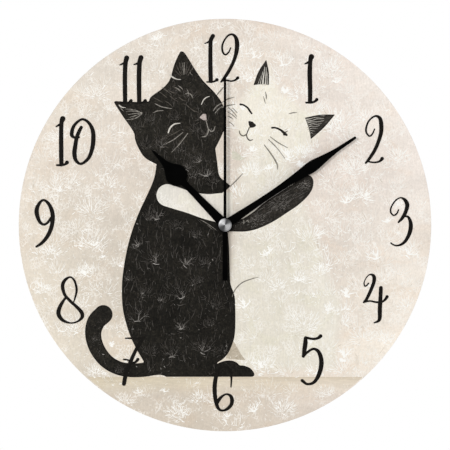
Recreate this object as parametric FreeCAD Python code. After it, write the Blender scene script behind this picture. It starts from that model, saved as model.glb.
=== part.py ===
import FreeCAD, Part
import math
import os

# Frameless round wall clock: a printed disc dial carried by a battery quartz movement.
# Frame: X to the right seen from the front, Z up, front towards -Y.
# Origin: on the hand arbor's axis, in the plane of the movement's rear face, on the wall.
# All sizes are in millimetres. A y span is (front, rear); an axis along Y is a point (x, z).

Vector = FreeCAD.Vector
os.makedirs("parts", exist_ok=True)

# ---------------------------------------------------------------- driving dimensions
DIAL_R = 120.0
BOARD_T = 5.0
FILM_T = 0.25           # printed film on the board
PAD_T = 1.0             # foam mounting pad
PAD_HALF = 24.0
CASE_HALF = 28.0        # half the side of the square case
CASE_DEPTH = 16.0
CASE_WALL = 1.2
FLOOR_T = 1.0           # front wall of the case
CASE_R = 4.0            # case corner radius
SPLIT_Y = -9.0          # parting line of the two case halves
COLLAR_R = 3.8          # collar on the front case that passes the dial
BOARD_HOLE_R = 4.1
RUN = 0.05              # radial clearance of shafts and pins
OVERLAP = 0.1           # depth to which added features sink into their base

INNER_HALF = CASE_HALF - CASE_WALL
CASE_FRONT_Y = -CASE_DEPTH
FLOOR_Y = CASE_FRONT_Y + FLOOR_T
PAD_FRONT_Y = CASE_FRONT_Y - PAD_T
BOARD_FRONT_Y = PAD_FRONT_Y - BOARD_T
FILM_FRONT_Y = BOARD_FRONT_Y - FILM_T

# hands; angles in degrees clockwise from twelve
HOUR_ANGLE, MINUTE_ANGLE, SECOND_ANGLE = 315.7, 56.15, 0.0
SECOND_LEN, SECOND_TAIL = 85.6, 32.2
HUB_R = 4.4             # hub discs of the hour and minute hands
CAP_R = 3.85            # turned cap on the second hand
HOUR_Y = (-23.8, -23.4)
MINUTE_Y = (-26.2, -25.8)
SECOND_Y = (-28.5, -28.2)
HOUR_COLLET_R, MINUTE_COLLET_R, SECOND_COLLET_R = 3.0, 2.2, 1.3

# tubes, arbors and pins
ARBOR_R = 0.5
CANNON_R = 1.6
HOUR_TUBE_R = 2.5
STEM_R = 1.55           # setting stem
STEM_REAR_R = 1.0       # its rear end, in the knob
PIN_R = 0.8             # pins on the posts and stakes, and the front end of the stem
PCB_PIN_R = 0.6
PIVOT_HOLE_R = ARBOR_R + RUN
ARBOR_REAR_Y = -1.9
PLATE_ARBOR_Y = (-11.5, ARBOR_REAR_Y)   # arbors that run in the middle plate
FLOOR_PIVOT_Y = -15.5                   # front ends of the motion arbor and stem
FLOOR_HOLE_Y = FLOOR_Y - 0.65           # bottoms of their blind holes

# internal supports
PLATE_Y = (-11.6, -10.6)
PLATE_CUT_Y = (-13.0, -9.0)
POSTS = [(-23.5, -6.5), (23.5, -6.5), (-23.5, 14.5), (23.5, 14.5)]
STAKES = [(-14.75, 12.6), (11.85, 12.6)]
STATOR_Y = (-7.9, -6.9)
PCB_Y = (-4.2, -3.4)
PCB_POSTS = [(-22.5, 20.5), (-13.4, 12.6)]
PCB_POST_R = 1.3

# snap clips: two on the top wall, one on each side wall
CLIP_TOP_X = [(-20.0, -14.0), (11.0, 17.0)]
CLIP_SIDE_Z = (2.0, 8.0)
CLIP_SLOT_Y = (-12.4, -11.2)
CLIP_GAP = 0.1
# y front, y rear, inner and outer distance from the case centre
CLIP_BLOCKS = [
    (-12.3, -7.5, 25.6, INNER_HALF - 0.1),      # tongue
    (SPLIT_Y, -7.5, 25.6, INNER_HALF + 0.2),    # root in the wall
    (-12.2, -11.4, 26.0, 27.5),                 # catch
]

# AA cell lying along X below the gear train
CELL_Y, CELL_Z = -7.75, -18.55
CELL_X0, CELL_X1 = -24.3, 26.2
SLEEVE_R = 7.2
CELL_R = 6.95           # under the sleeve
SLEEVE_X = (CELL_X0 + 0.55, 24.7)
BAY_Z = (-10.7, -9.9)   # partition above the cell


# ---------------------------------------------------------------- helpers
def save(name, shape):
    solids = shape.Solids
    if not solids:
        raise RuntimeError(name + " has no solid")
    for solid in solids:
        if not solid.isValid() or solid.Volume <= 0:
            raise RuntimeError(name + " has a bad solid")
    out = solids[0] if len(solids) == 1 else Part.makeCompound(solids)
    out.exportStep("parts/" + name + ".step")


def polar(radius, degrees, x0=0.0, z0=0.0):
    angle = math.radians(degrees)
    return (x0 + radius * math.cos(angle), z0 + radius * math.sin(angle))


def cylinder(radius, y0, y1, axis=(0.0, 0.0)):
    return Part.makeCylinder(radius, y1 - y0, Vector(axis[0], y0, axis[1]), Vector(0, 1, 0))


def rod_x(radius, x0, x1, y, z):
    return Part.makeCylinder(radius, x1 - x0, Vector(x0, y, z), Vector(1, 0, 0))


def ring(outer, inner, y0, y1, axis=(0.0, 0.0)):
    return cylinder(outer, y0, y1, axis).cut(cylinder(inner, y0 - 1, y1 + 1, axis))


def drill(shape, radius, y0, y1, *axes):
    for axis in axes:
        shape = shape.cut(cylinder(radius, y0, y1, axis))
    return shape


def box(x0, x1, y0, y1, z0, z1):
    return Part.makeBox(x1 - x0, y1 - y0, z1 - z0, Vector(x0, y0, z0))


def side_box(side, near, far, y0, y1, z0, z1):
    """Box between two distances from the centre plane, on the side given by the sign."""
    return box(*sorted((side * near, side * far)), y0, y1, z0, z1)


def prism(points, y0, y1):
    """Extrusion along Y of an outline of (x, z) points."""
    corners = [Vector(x, y0, z) for x, z in points]
    face = Part.Face(Part.makePolygon(corners + [corners[0]]))
    return face.extrude(Vector(0, y1 - y0, 0))


def rounded_block(x0, x1, y0, y1, z0, z1, radius):
    """Box with its edges along Y rounded."""
    block = box(x0, x1, y0, y1, z0, z1)
    edges = [e for e in block.Edges if abs(e.Vertexes[0].Y - e.Vertexes[1].Y) > 1e-6]
    return block.makeFillet(radius, edges)


def square_block(half, y0, y1, radius):
    return rounded_block(-half, half, y0, y1, -half, half, radius)


def edges_at(shape, y, min_width=0.0):
    """Edges lying in the plane at y and at least min_width wide in X."""
    return [e for e in shape.Edges if abs(e.BoundBox.YMin - y) < 1e-6
            and e.BoundBox.YLength < 1e-6 and e.BoundBox.XLength >= min_width]


def fuse(first, *others):
    return first.multiFuse(list(others)).removeSplitter()


def revolve(points, base, direction):
    face = Part.Face(Part.makePolygon(points + [points[0]]))
    return face.revolve(base, direction, 360)


def revolve_x(profile, y, z):
    """Solid of revolution along X; profile is a list of (x, radius)."""
    points = [Vector(x, y, z + radius) for x, radius in profile]
    return revolve(points, Vector(0, y, z), Vector(1, 0, 0))


def revolve_y(profile, axis=(0.0, 0.0)):
    """Solid of revolution along Y; profile is a list of (y, radius)."""
    points = [Vector(axis[0] + radius, y, axis[1]) for y, radius in profile]
    return revolve(points, Vector(axis[0], 0, axis[1]), Vector(0, 1, 0))


# ---------------------------------------------------------------- gear train
PRESSURE_ANGLE = math.radians(20)
ADDENDUM, DEDENDUM = 0.8, 1.2       # in modules
FLANK_STEPS = 3
CENTRE = (0.0, 0.0)


def involute(angle):
    return math.tan(angle) - angle


class Gear:
    """One set of teeth; phase is the angle of the centre of one tooth.

    A mate sets the phase so that the teeth mesh. With a bearing in degrees as well,
    the axis is placed in that direction from the mate, at the sum of the pitch radii.
    """

    def __init__(self, teeth, tooth_form, shift, y_span,
                 axis=CENTRE, phase=0.0, mate=None, bearing=None):
        self.teeth, self.shift, self.y_span = teeth, shift, y_span
        self.module, self.backlash = tooth_form
        self.axis, self.phase = axis, phase
        if bearing is not None:
            distance = self.module * (teeth + mate.teeth) / 2
            self.axis = polar(distance, bearing, *mate.axis)
        if mate:
            self.phase = self.phase_against(mate)

    def phase_against(self, mate):
        """Phase that turns a gap towards a tooth of the mate on the line of centres."""
        line = math.atan2(self.axis[1] - mate.axis[1], self.axis[0] - mate.axis[0])
        mate_turn = (line - mate.phase) / (2 * math.pi / mate.teeth)
        return line + math.pi + (2 * math.pi / self.teeth) * (mate_turn - 0.5)

    def body(self):
        pitch_r = self.module * self.teeth / 2
        base_r = pitch_r * math.cos(PRESSURE_ANGLE)
        tip_r = pitch_r + (ADDENDUM + self.shift) * self.module
        root_r = pitch_r - (DEDENDUM - self.shift) * self.module
        half_tooth = ((math.pi / 2 + 2 * self.shift * math.tan(PRESSURE_ANGLE)) / self.teeth
                      - self.backlash / 2 / pitch_r)

        def half_angle(radius):
            cosine = min(1.0, base_r / max(radius, base_r))
            return half_tooth + involute(PRESSURE_ANGLE) - involute(math.acos(cosine))

        start_r = max(base_r, root_r)
        radii = [root_r] + ([base_r] if base_r > root_r + 1e-6 else [])
        radii += [start_r + (tip_r - start_r) * k / FLANK_STEPS
                  for k in range(1, FLANK_STEPS + 1)]
        points = []
        for k in range(self.teeth):
            middle = self.phase + 2 * math.pi * k / self.teeth
            tooth = [(radius, middle - half_angle(radius)) for radius in radii]
            tooth += [(radius, middle + half_angle(radius)) for radius in reversed(radii)]
            points += [(self.axis[0] + radius * math.cos(angle),
                        self.axis[1] + radius * math.sin(angle)) for radius, angle in tooth]
        return prism(points, *self.y_span)

    def windowed(self, count, inner, outer):
        """The toothed disc with round windows between two radii."""
        y0, y1 = self.y_span
        axes = [polar((inner + outer) / 2, 360.0 * k / count + 20, *self.axis)
                for k in range(count)]
        return drill(self.body(), (outer - inner) / 2, y0 - 1, y1 + 1, *axes)


# tooth forms: (module, backlash)
FAST = (0.25, 0.05)
MOTION_FORM = (0.45, 0.06)

# teeth, tooth form, profile shift, y span
SECONDS_WHEEL = Gear(60, FAST, -0.4, (-7.0, -6.2))
SECONDS_PINION = Gear(8, FAST, 0.45, (-8.8, -7.4), phase=0.1)
THIRD_WHEEL = Gear(60, FAST, -0.45, (-8.6, -7.8), mate=SECONDS_PINION, bearing=170)
THIRD = THIRD_WHEEL.axis

# the third pinion and centre wheel close on the distance set by the pair before
THIRD_PINION_TEETH, CENTRE_WHEEL_TEETH = 8, 64
CENTRE_FORM = (FAST[0] * (SECONDS_PINION.teeth + THIRD_WHEEL.teeth)
               / (THIRD_PINION_TEETH + CENTRE_WHEEL_TEETH), 0.05)
THIRD_PINION = Gear(THIRD_PINION_TEETH, CENTRE_FORM, 0.45, (-10.4, -9.0), axis=THIRD)
CENTRE_WHEEL = Gear(CENTRE_WHEEL_TEETH, CENTRE_FORM, -0.45, (-10.2, -9.2), mate=THIRD_PINION)

CANNON_PINION = Gear(10, MOTION_FORM, 0.4, (-13.1, -11.9))
MOTION_WHEEL = Gear(30, MOTION_FORM, -0.4, (-13.0, -12.0), mate=CANNON_PINION, bearing=-8)
MOTION = MOTION_WHEEL.axis
MOTION_PINION = Gear(8, MOTION_FORM, 0.45, (-14.5, -13.3), axis=MOTION)
HOUR_WHEEL = Gear(32, MOTION_FORM, -0.45, (-14.6, -13.4), mate=MOTION_PINION)
SETTING_PINION = Gear(12, MOTION_FORM, 0.4, (-13.1, -11.9), mate=MOTION_WHEEL, bearing=5)
SETTING = SETTING_PINION.axis

FIFTH_PINION = Gear(10, FAST, 0.4, (-7.2, -6.0), mate=SECONDS_WHEEL, bearing=55)
FIFTH = FIFTH_PINION.axis
FIFTH_WHEEL = Gear(50, FAST, -0.4, (-5.4, -4.6), axis=FIFTH)
ROTOR_PINION = Gear(10, FAST, 0.4, (-5.6, -4.4), mate=FIFTH_WHEEL, bearing=115)
ROTOR = ROTOR_PINION.axis


# ---------------------------------------------------------------- dial
def dial_board():
    board = cylinder(DIAL_R, BOARD_FRONT_Y, PAD_FRONT_Y)
    board = board.makeFillet(0.5, edges_at(board, PAD_FRONT_Y, min_width=200))
    return drill(board, BOARD_HOLE_R, BOARD_FRONT_Y - 1, PAD_FRONT_Y + 1, CENTRE)


def dial_print_film():
    film = ring(DIAL_R, BOARD_HOLE_R, FILM_FRONT_Y, BOARD_FRONT_Y)
    return film.makeFillet(0.2, edges_at(film, FILM_FRONT_Y, min_width=200))


def foam_mounting_pad():
    pad = square_block(PAD_HALF, PAD_FRONT_Y, CASE_FRONT_Y, 3.0)
    return drill(pad, 7.0, PAD_FRONT_Y - 1, CASE_FRONT_Y + 1, CENTRE)


# ---------------------------------------------------------------- case and middle plate
def movement_front_case():
    base_y = FLOOR_Y - OVERLAP
    case = square_block(CASE_HALF, CASE_FRONT_Y, SPLIT_Y, CASE_R)
    case = case.makeFillet(0.6, edges_at(case, CASE_FRONT_Y))
    case = case.cut(square_block(INNER_HALF, FLOOR_Y, SPLIT_Y + 1, CASE_R - CASE_WALL))
    case = fuse(
        case,
        cylinder(COLLAR_R, BOARD_FRONT_Y, FLOOR_Y),
        cylinder(4.3, base_y, FLOOR_Y + 0.2),
        cylinder(1.5, base_y, FLOOR_Y + 0.25, MOTION),
        cylinder(1.8, base_y, FLOOR_Y + 1.5, SETTING),
        *[cylinder(1.8, base_y, PLATE_Y[0], post) for post in POSTS],
        *[cylinder(PIN_R, base_y, PLATE_Y[1] + 0.5, post) for post in POSTS],
    )
    case = drill(case, HOUR_TUBE_R + RUN, BOARD_FRONT_Y - 1, FLOOR_Y + 1, CENTRE)
    case = drill(case, PIVOT_HOLE_R, FLOOR_HOLE_Y, FLOOR_Y + 1, MOTION)
    case = drill(case, PIN_R + RUN, FLOOR_HOLE_Y, FLOOR_Y + 2, SETTING)
    # clip slots through the walls
    near, far = INNER_HALF - 0.5, CASE_HALF + 1
    for x0, x1 in CLIP_TOP_X:
        case = case.cut(box(x0 - CLIP_GAP, x1 + CLIP_GAP, *CLIP_SLOT_Y, near, far))
    z0, z1 = CLIP_SIDE_Z
    for side in (-1, 1):
        case = case.cut(side_box(side, near, far, *CLIP_SLOT_Y, z0 - CLIP_GAP, z1 + CLIP_GAP))
    return case


HANG_Z, HANG_R, HANG_T = 32.0, 3.5, 3.0     # hanging hole and its tab above the case
PIVOTS = [THIRD, CENTRE, FIFTH, ROTOR]
MARK_Y = (-0.35, 1)                         # engraving cut into the rear face


def hanging_tab():
    neck_z = HANG_Z + 2.4
    neck = [(-11.0, CASE_HALF - 1.5), (11.0, CASE_HALF - 1.5), (7.6, neck_z), (-7.6, neck_z)]
    return cylinder(8.0, -HANG_T, 0, (0, HANG_Z)).fuse(prism(neck, -HANG_T, 0))


def clips():
    tops = [box(x0, x1, y0, y1, near, far)
            for y0, y1, near, far in CLIP_BLOCKS for x0, x1 in CLIP_TOP_X]
    sides = [side_box(side, near, far, y0, y1, *CLIP_SIDE_Z)
             for y0, y1, near, far in CLIP_BLOCKS for side in (-1, 1)]
    return tops + sides


def engrave(case):
    """Polarity marks above the bay and a turn arrow round the knob."""
    x, z = SETTING
    arc = ring(7.9, 7.4, *MARK_Y, SETTING)
    arc = arc.common(box(x - 9, x + 4.5, -2, 2, z + 1.5, z + 9))
    tip_x, tip_z = polar(7.65, 62, *SETTING)
    head = [(tip_x + 1.6, tip_z - 1.1), (tip_x - 0.9, tip_z + 0.9), (tip_x - 1.0, tip_z - 1.4)]
    marks = [
        box(20.0, 24.0, *MARK_Y, -8.35, -7.65),     # plus, level bar
        box(21.65, 22.35, *MARK_Y, -10.0, -6.0),    # plus, upright bar
        box(-24.0, -20.0, *MARK_Y, -8.35, -7.65),   # minus
        arc,
        prism(head, *MARK_Y),
    ]
    for mark in marks:
        case = case.cut(mark)
    return case


def movement_rear_case():
    base_y = -CASE_WALL + 0.2       # added features end inside the rear wall
    case = square_block(CASE_HALF, SPLIT_Y, 0, CASE_R)
    case = case.makeFillet(0.8, edges_at(case, 0))
    case = case.cut(square_block(INNER_HALF, SPLIT_Y - 1, -CASE_WALL, CASE_R - CASE_WALL))
    part_x = INNER_HALF - 0.1
    case = fuse(
        case,
        hanging_tab(),
        box(-INNER_HALF, INNER_HALF, SPLIT_Y, base_y, *BAY_Z),
        box(-part_x, part_x, -14.95, SPLIT_Y + 0.2, *BAY_Z),
        cylinder(6.9, -5.4, base_y, SETTING),
        *[cylinder(1.6, -3.6, base_y, pivot) for pivot in PIVOTS],
        *[cylinder(PCB_POST_R, PCB_Y[1], base_y, post) for post in PCB_POSTS],
        *[cylinder(PCB_PIN_R, PCB_Y[0] - 0.5, base_y, post) for post in PCB_POSTS],
        *clips(),
    )
    # battery bay mouth
    case = case.cut(rounded_block(-26.4, 26.4, -CASE_WALL - 0.5, 1, -26.4, BAY_Z[0], 1.5))
    # finger scoop below the cell
    case = case.cut(Part.makeCylinder(6.5, 4.0, Vector(0, -1.0, -30.0), Vector(0, 0, 1)))
    # setting knob pocket and its shaft hole
    case = drill(case, 5.9, -4.6, 1, SETTING)
    case = drill(case, STEM_R + RUN, -6, 0, SETTING)
    case = drill(case, PIVOT_HOLE_R, -4.0, -1.7, *PIVOTS)
    case = drill(case, HANG_R, -HANG_T - 1, 1, (0, HANG_Z))
    # notches in the partition for the two contact strips
    case = case.cut(box(-27.0, -26.35, -4.7, -2.8, -10.75, -9.85))
    case = case.cut(box(26.35, 27.0, -6.15, -4.35, -10.75, -9.85))
    case = engrave(case)
    # five grooves in the rear face near the top, leaving ribs between them
    for k in range(5):
        z = 20.4 + 1.3 * k
        case = case.cut(box(-17.0, 17.0, -0.3, 1, z, z + 0.5))
    return case


def middle_plate():
    plate = rounded_block(-26.2, 26.2, *PLATE_Y, -9.4, 16.8, 1.5)
    # side notches that clear the clips
    z0, z1 = CLIP_SIDE_Z
    for side in (-1, 1):
        plate = plate.cut(side_box(side, 25.3, 28, *PLATE_CUT_Y, z0 - 0.5, z1 + 0.5))
    base_y = PLATE_Y[1] - OVERLAP
    plate = fuse(
        plate,
        *[cylinder(1.6, base_y, STATOR_Y[0], stake) for stake in STAKES],
        *[cylinder(PIN_R, base_y, STATOR_Y[1] + 0.4, stake) for stake in STAKES],
    )
    # radius, axes
    holes = [
        (CANNON_R + RUN, [CENTRE]),
        (PIVOT_HOLE_R, [THIRD, FIFTH, ROTOR, MOTION]),
        (STEM_R + RUN, [SETTING]),
        (PIN_R + RUN, POSTS),
        (2.6, [(-18.5, 4.5)]),
        (2.0, [(-12.0, -5.8)]),
        (2.6, [(14.5, 9.0)]),
        (2.2, [(-6.5, 13.0)]),
    ]
    for radius, axes in holes:
        plate = drill(plate, radius, *PLATE_CUT_Y, *axes)
    return plate


# ---------------------------------------------------------------- wheels
def hour_wheel():
    wheel = fuse(HOUR_WHEEL.windowed(5, inner=3.0, outer=6.0),
                 cylinder(HOUR_TUBE_R, -24.6, HOUR_WHEEL.y_span[1]))
    return drill(wheel, CANNON_R + RUN, -26, -12, CENTRE)


def cannon_pinion():
    cannon = fuse(CANNON_PINION.body(), cylinder(CANNON_R, -27.2, -9.0))
    return drill(cannon, PIVOT_HOLE_R, -28, -8, CENTRE)


def centre_wheel():
    y0, y1 = CENTRE_WHEEL.y_span
    return drill(CENTRE_WHEEL.windowed(5, inner=3.2, outer=6.4), CANNON_R, y0 - 1, y1 + 1, CENTRE)


def clutch_washer():
    outer = 3.6
    washer = ring(outer, CANNON_R, -10.5, CENTRE_WHEEL.y_span[0])
    return drill(washer, 0.9, -11, -10, *[polar(outer, 120 * k + 60) for k in range(3)])


def motion_wheel():
    return fuse(
        MOTION_WHEEL.windowed(5, inner=2.4, outer=5.6),
        MOTION_PINION.body(),
        cylinder(1.4, -13.4, -12.9, MOTION),
        cylinder(ARBOR_R, FLOOR_PIVOT_Y, -10.8, MOTION),
    )


def third_wheel():
    return fuse(
        THIRD_WHEEL.windowed(5, inner=2.2, outer=6.2),
        THIRD_PINION.body(),
        cylinder(0.75, -9.1, -7.3, THIRD),
        cylinder(ARBOR_R, *PLATE_ARBOR_Y, THIRD),
    )


def seconds_wheel():
    wheel = fuse(
        SECONDS_WHEEL.windowed(5, inner=2.2, outer=6.2),
        SECONDS_PINION.body(),
        cylinder(1.0, -7.5, -5.7),
    )
    return drill(wheel, ARBOR_R, -10, -5, CENTRE)


def seconds_arbor():
    return cylinder(ARBOR_R, -28.9, ARBOR_REAR_Y)


def fifth_wheel():
    return fuse(
        FIFTH_WHEEL.windowed(4, inner=2.0, outer=5.1),
        FIFTH_PINION.body(),
        cylinder(1.05, -6.1, -4.2, FIFTH),
        cylinder(ARBOR_R, *PLATE_ARBOR_Y, FIFTH),
    )


MAGNET_BORE_R = 1.2


def rotor_pinion():
    return fuse(
        ROTOR_PINION.body(),
        cylinder(MAGNET_BORE_R, -8.9, -6.0, ROTOR),
        cylinder(1.0, -6.1, -5.5, ROTOR),
        cylinder(ARBOR_R, *PLATE_ARBOR_Y, ROTOR),
    )


def rotor_magnet():
    return ring(3.0, MAGNET_BORE_R, -8.7, -6.1, ROTOR)


# ---------------------------------------------------------------- setting stem and knob
KNOB_Y = (-4.1, -0.6)
KNOB_RIDGES = 24
# one ridge: angle in ridge pitches, radius
KNOB_RIDGE = [(-0.25, 4.45), (-0.12, 4.75), (0.12, 4.75), (0.25, 4.45)]
STEM_END_Y = -1.6


def setting_pinion():
    return fuse(
        SETTING_PINION.body(),
        cylinder(PIN_R, FLOOR_PIVOT_Y, -13.0, SETTING),
        cylinder(STEM_R, -12.0, KNOB_Y[0], SETTING),
        cylinder(STEM_REAR_R, KNOB_Y[0] - OVERLAP, STEM_END_Y, SETTING),
    )


def setting_knob():
    outline = [polar(radius, (k + offset) * 360.0 / KNOB_RIDGES, *SETTING)
               for k in range(KNOB_RIDGES) for offset, radius in KNOB_RIDGE]
    knob = prism(outline, *KNOB_Y)
    rear_edges = [e for e in knob.Edges if e.BoundBox.YMin > KNOB_Y[1] - 0.01]
    # the chamfer may fail on the ridged outline; the knob then keeps sharp edges
    try:
        knob = knob.makeChamfer(0.25, rear_edges)
    except Exception:
        pass
    knob = drill(knob, STEM_REAR_R, -5, STEM_END_Y, SETTING)
    knob = drill(knob, 3.4, -1.0, 0, SETTING)
    # upright bar in the rear recess
    x, z = SETTING
    bar = rounded_block(x - 0.6, x + 0.6, -1.1, -0.65, z - 3.35, z + 3.35, 0.3)
    return knob.fuse(bar).removeSplitter()


# ---------------------------------------------------------------- coil, core and stator
CORE_X = (-16.5, 13.5)
CORE_HALF = (0.5, 1.5)              # half sizes in y and z
FORMER_HALF = (1.2, 2.2)
COIL_Y, COIL_Z = STATOR_Y[0] - CORE_HALF[0], 22.6
BOBBIN_X = (-12.6, 9.6)
WINDING_X = (-11.8, 8.8)            # between the bobbin flanges


def coil_bar(x0, x1, half):
    """Bar along X about the coil axis."""
    return box(x0, x1, COIL_Y - half[0], COIL_Y + half[0], COIL_Z - half[1], COIL_Z + half[1])


def coil_bobbin():
    return fuse(
        rod_x(4.0, BOBBIN_X[0], WINDING_X[0], COIL_Y, COIL_Z),
        rod_x(4.0, WINDING_X[1], BOBBIN_X[1], COIL_Y, COIL_Z),
        coil_bar(*BOBBIN_X, FORMER_HALF),
    ).cut(coil_bar(-13, 10, CORE_HALF))


def coil_winding():
    return rod_x(3.4, *WINDING_X, COIL_Y, COIL_Z).cut(coil_bar(-12, 9, FORMER_HALF))


def coil_core():
    return coil_bar(*CORE_X, CORE_HALF)


def stator_plate():
    bore_r, cut_y = 3.4, (-9, -6)
    left, right = CORE_X
    top = COIL_Z + CORE_HALF[1]
    outline = [
        (left, top), (-13.0, top), (-13.0, 18.4), (10.2, 18.4),
        (10.2, top), (right, top), (right, 9.6), (left, 9.6),
    ]
    stator = drill(prism(outline, *STATOR_Y), bore_r, *cut_y, ROTOR)
    # two round notches in the bore
    stator = drill(stator, 0.5, *cut_y, *[polar(bore_r, a, *ROTOR) for a in (48, 228)])
    return drill(stator, PIN_R + RUN, *cut_y, *STAKES)


# ---------------------------------------------------------------- circuit
PCB_FRONT_Y = PCB_Y[0]
JOINTS = [(-21.4, 12.1), (-21.4, 12.9), (-14.0, 20.0), (-14.0, 23.0), (-23.2, 13.2)]


def circuit_board():
    board = box(-25.8, -12.0, *PCB_Y, 11.0, 25.0)
    return drill(board, PCB_PIN_R + RUN, -5, -3, *PCB_POSTS)


def quartz_crystal():
    can_r, y, z = 1.0, PCB_FRONT_Y - 1.0, 12.5
    can = rod_x(can_r, -20.5, -14.5, y, z)
    return can.fuse(rod_x(0.8, -20.9, -20.5, y, z)).removeSplitter()


def chip_encapsulant():
    """Cap of a sphere standing on the front of the board."""
    sphere = Part.makeSphere(4.0, Vector(-19.0, PCB_FRONT_Y + 3.0, 18.5))
    return sphere.common(box(-30, -5, PCB_FRONT_Y - 2, PCB_FRONT_Y, 10, 30))


def solder_joints():
    y = PCB_FRONT_Y
    profile = [(y, 0.0), (y, 0.42), (y - 0.15, 0.36), (y - 0.35, 0.0)]
    return Part.makeCompound([revolve_y(profile, joint) for joint in JOINTS])


# ---------------------------------------------------------------- battery contacts
CONTACT_X = (26.5, 26.8)                        # both contacts, to the right and left
CONTACT_PLATE = (-12.5, -3.5, -23.0, -14.0)     # y and z ranges behind the cell ends
POS_STRIP_Y = (-6.0, -4.5)


def positive_contact():
    return fuse(
        box(*CONTACT_X, *CONTACT_PLATE),
        rod_x(2.4, 26.25, 26.55, CELL_Y, CELL_Z),           # nub on the cell's cap
        box(*CONTACT_X, *POS_STRIP_Y, -14.5, -9.45),        # strip up the right side
        box(-24.3, CONTACT_X[1], *POS_STRIP_Y, -9.75, -9.45),   # strip above the bay
        box(-24.3, -24.0, *POS_STRIP_Y, -9.75, 12.0),       # strip up to the board
        box(-24.3, -23.2, -4.5, -4.2, 11.2, 12.0),          # tab on the board
        box(-24.3, -23.2, -4.7, -4.4, 11.2, 12.0),
    )


def negative_contact():
    return fuse(
        side_box(-1, *CONTACT_X, *CONTACT_PLATE),
        side_box(-1, *CONTACT_X, -4.5, -3.0, -14.5, 16.5),  # strip up to the board
        box(-26.8, -24.6, -4.5, -4.2, 15.3, 16.5),          # tab on the board
    )


def negative_contact_spring():
    """Conical spring from the left contact plate, narrowing towards the cell."""
    wire_r, turns, steps_per_turn = 0.3, 2.25, 24
    start_r, taper = 4.2, 2.0
    start_x = -CONTACT_X[0] + wire_r
    length = CELL_X0 - 0.05 - wire_r - start_x
    steps = int(turns * steps_per_turn)
    path = []
    for k in range(steps + 1):
        t = k / steps
        angle = 2 * math.pi * turns * t
        radius = start_r - taper * t
        path.append(Vector(start_x + length * t, CELL_Y + radius * math.sin(angle),
                           CELL_Z + radius * math.cos(angle)))
    curve = Part.BSplineCurve()
    curve.interpolate(path)
    tangent = curve.tangent(curve.FirstParameter)[0]
    section = Part.Wire([Part.makeCircle(wire_r, path[0], tangent)])
    spring = Part.Wire([curve.toShape()]).makePipeShell([section], True, True)
    # the sweep may come back as a closed shell
    return spring if spring.Solids else Part.Solid(spring)


# ---------------------------------------------------------------- battery
def battery_cell():
    return revolve_x([
        (CELL_X0, 0.0), (CELL_X0, 5.4), (CELL_X0 + 0.15, 5.6), (CELL_X0 + 0.15, 6.5),
        (SLEEVE_X[0], CELL_R), (SLEEVE_X[1], CELL_R), (25.05, 6.6), (25.05, 2.75),
        (25.9, 2.75), (CELL_X1, 2.45), (CELL_X1, 0.0),
    ], CELL_Y, CELL_Z)


def battery_sleeve():
    x0, x1 = SLEEVE_X
    profile = [(x0, CELL_R), (x0 + 0.2, SLEEVE_R), (x1 - 0.2, SLEEVE_R), (x1, CELL_R)]
    return revolve_x(profile, CELL_Y, CELL_Z)


# ---------------------------------------------------------------- hands
# blade outlines: (distance from the axis, half width)
HOUR_PROFILE = [
    (2.0, 2.78), (5.0, 2.70), (9.0, 2.50), (14.0, 2.32), (20.0, 2.09), (26.0, 1.90),
    (30.5, 1.80), (32.8, 1.78), (34.2, 2.05), (35.0, 2.95), (35.7, 4.2), (36.8, 5.3),
    (38.4, 6.0), (40.2, 6.3), (41.8, 6.22), (43.3, 5.65), (44.8, 4.7), (46.4, 3.55),
    (48.3, 2.5), (50.6, 1.78), (53.5, 1.28), (56.5, 0.92), (60.25, 0.42),
]
MINUTE_PROFILE = [
    (2.0, 2.52), (6.0, 2.48), (11.0, 2.30), (16.0, 2.05), (22.0, 1.84), (29.0, 1.72),
    (36.0, 1.78), (43.0, 2.05), (50.0, 2.50), (56.0, 3.04), (60.2, 3.40), (62.2, 3.37),
    (64.5, 3.05), (67.5, 2.56), (71.0, 2.02), (74.5, 1.58), (78.0, 1.26), (82.0, 1.07),
    (86.0, 0.96), (91.0, 0.78),
]


def spline(points):
    curve = Part.BSplineCurve()
    curve.interpolate(points)
    return curve.toShape()


def turned(shape, clock_degrees):
    shape = shape.copy()
    shape.rotate(Vector(0, 0, 0), Vector(0, 1, 0), clock_degrees)
    return shape


def blade_hand(profile, tip_rise, y_span, hole_r, clock_degrees):
    """Hand with a splined edge each side, an arc at the tip and a hub disc."""
    y0, y1 = y_span
    right = [Vector(half, y0, z) for z, half in profile]
    left = [Vector(-half, y0, z) for z, half in reversed(profile)]
    tip = Vector(0, y0, profile[-1][0] + tip_rise)
    outline = Part.Wire([
        spline(right),
        Part.Arc(right[-1], tip, left[0]).toShape(),
        spline(left),
        Part.makeLine(left[-1], right[0]),
    ])
    blade = Part.Face(outline).extrude(Vector(0, y1 - y0, 0))
    hand = drill(fuse(blade, cylinder(HUB_R, y0, y1)), hole_r, -30, -20, CENTRE)
    return turned(hand, clock_degrees)


def flanged_collet(outer, bore, flange, hand_front_y, rear_y):
    """Collet whose flange lies on the front of the hand."""
    front_y = hand_front_y - 0.3
    return fuse(ring(outer, bore, front_y, rear_y), ring(flange, bore, front_y, hand_front_y))


def hour_hand():
    return blade_hand(HOUR_PROFILE, 0.35, HOUR_Y, HOUR_COLLET_R, HOUR_ANGLE)


def hour_hand_collet():
    return flanged_collet(HOUR_COLLET_R, HOUR_TUBE_R, 3.7, HOUR_Y[0], -23.0)


def minute_hand():
    return blade_hand(MINUTE_PROFILE, 0.55, MINUTE_Y, MINUTE_COLLET_R, MINUTE_ANGLE)


def minute_hand_collet():
    return flanged_collet(MINUTE_COLLET_R, CANNON_R, 3.0, MINUTE_Y[0], -24.9)


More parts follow.
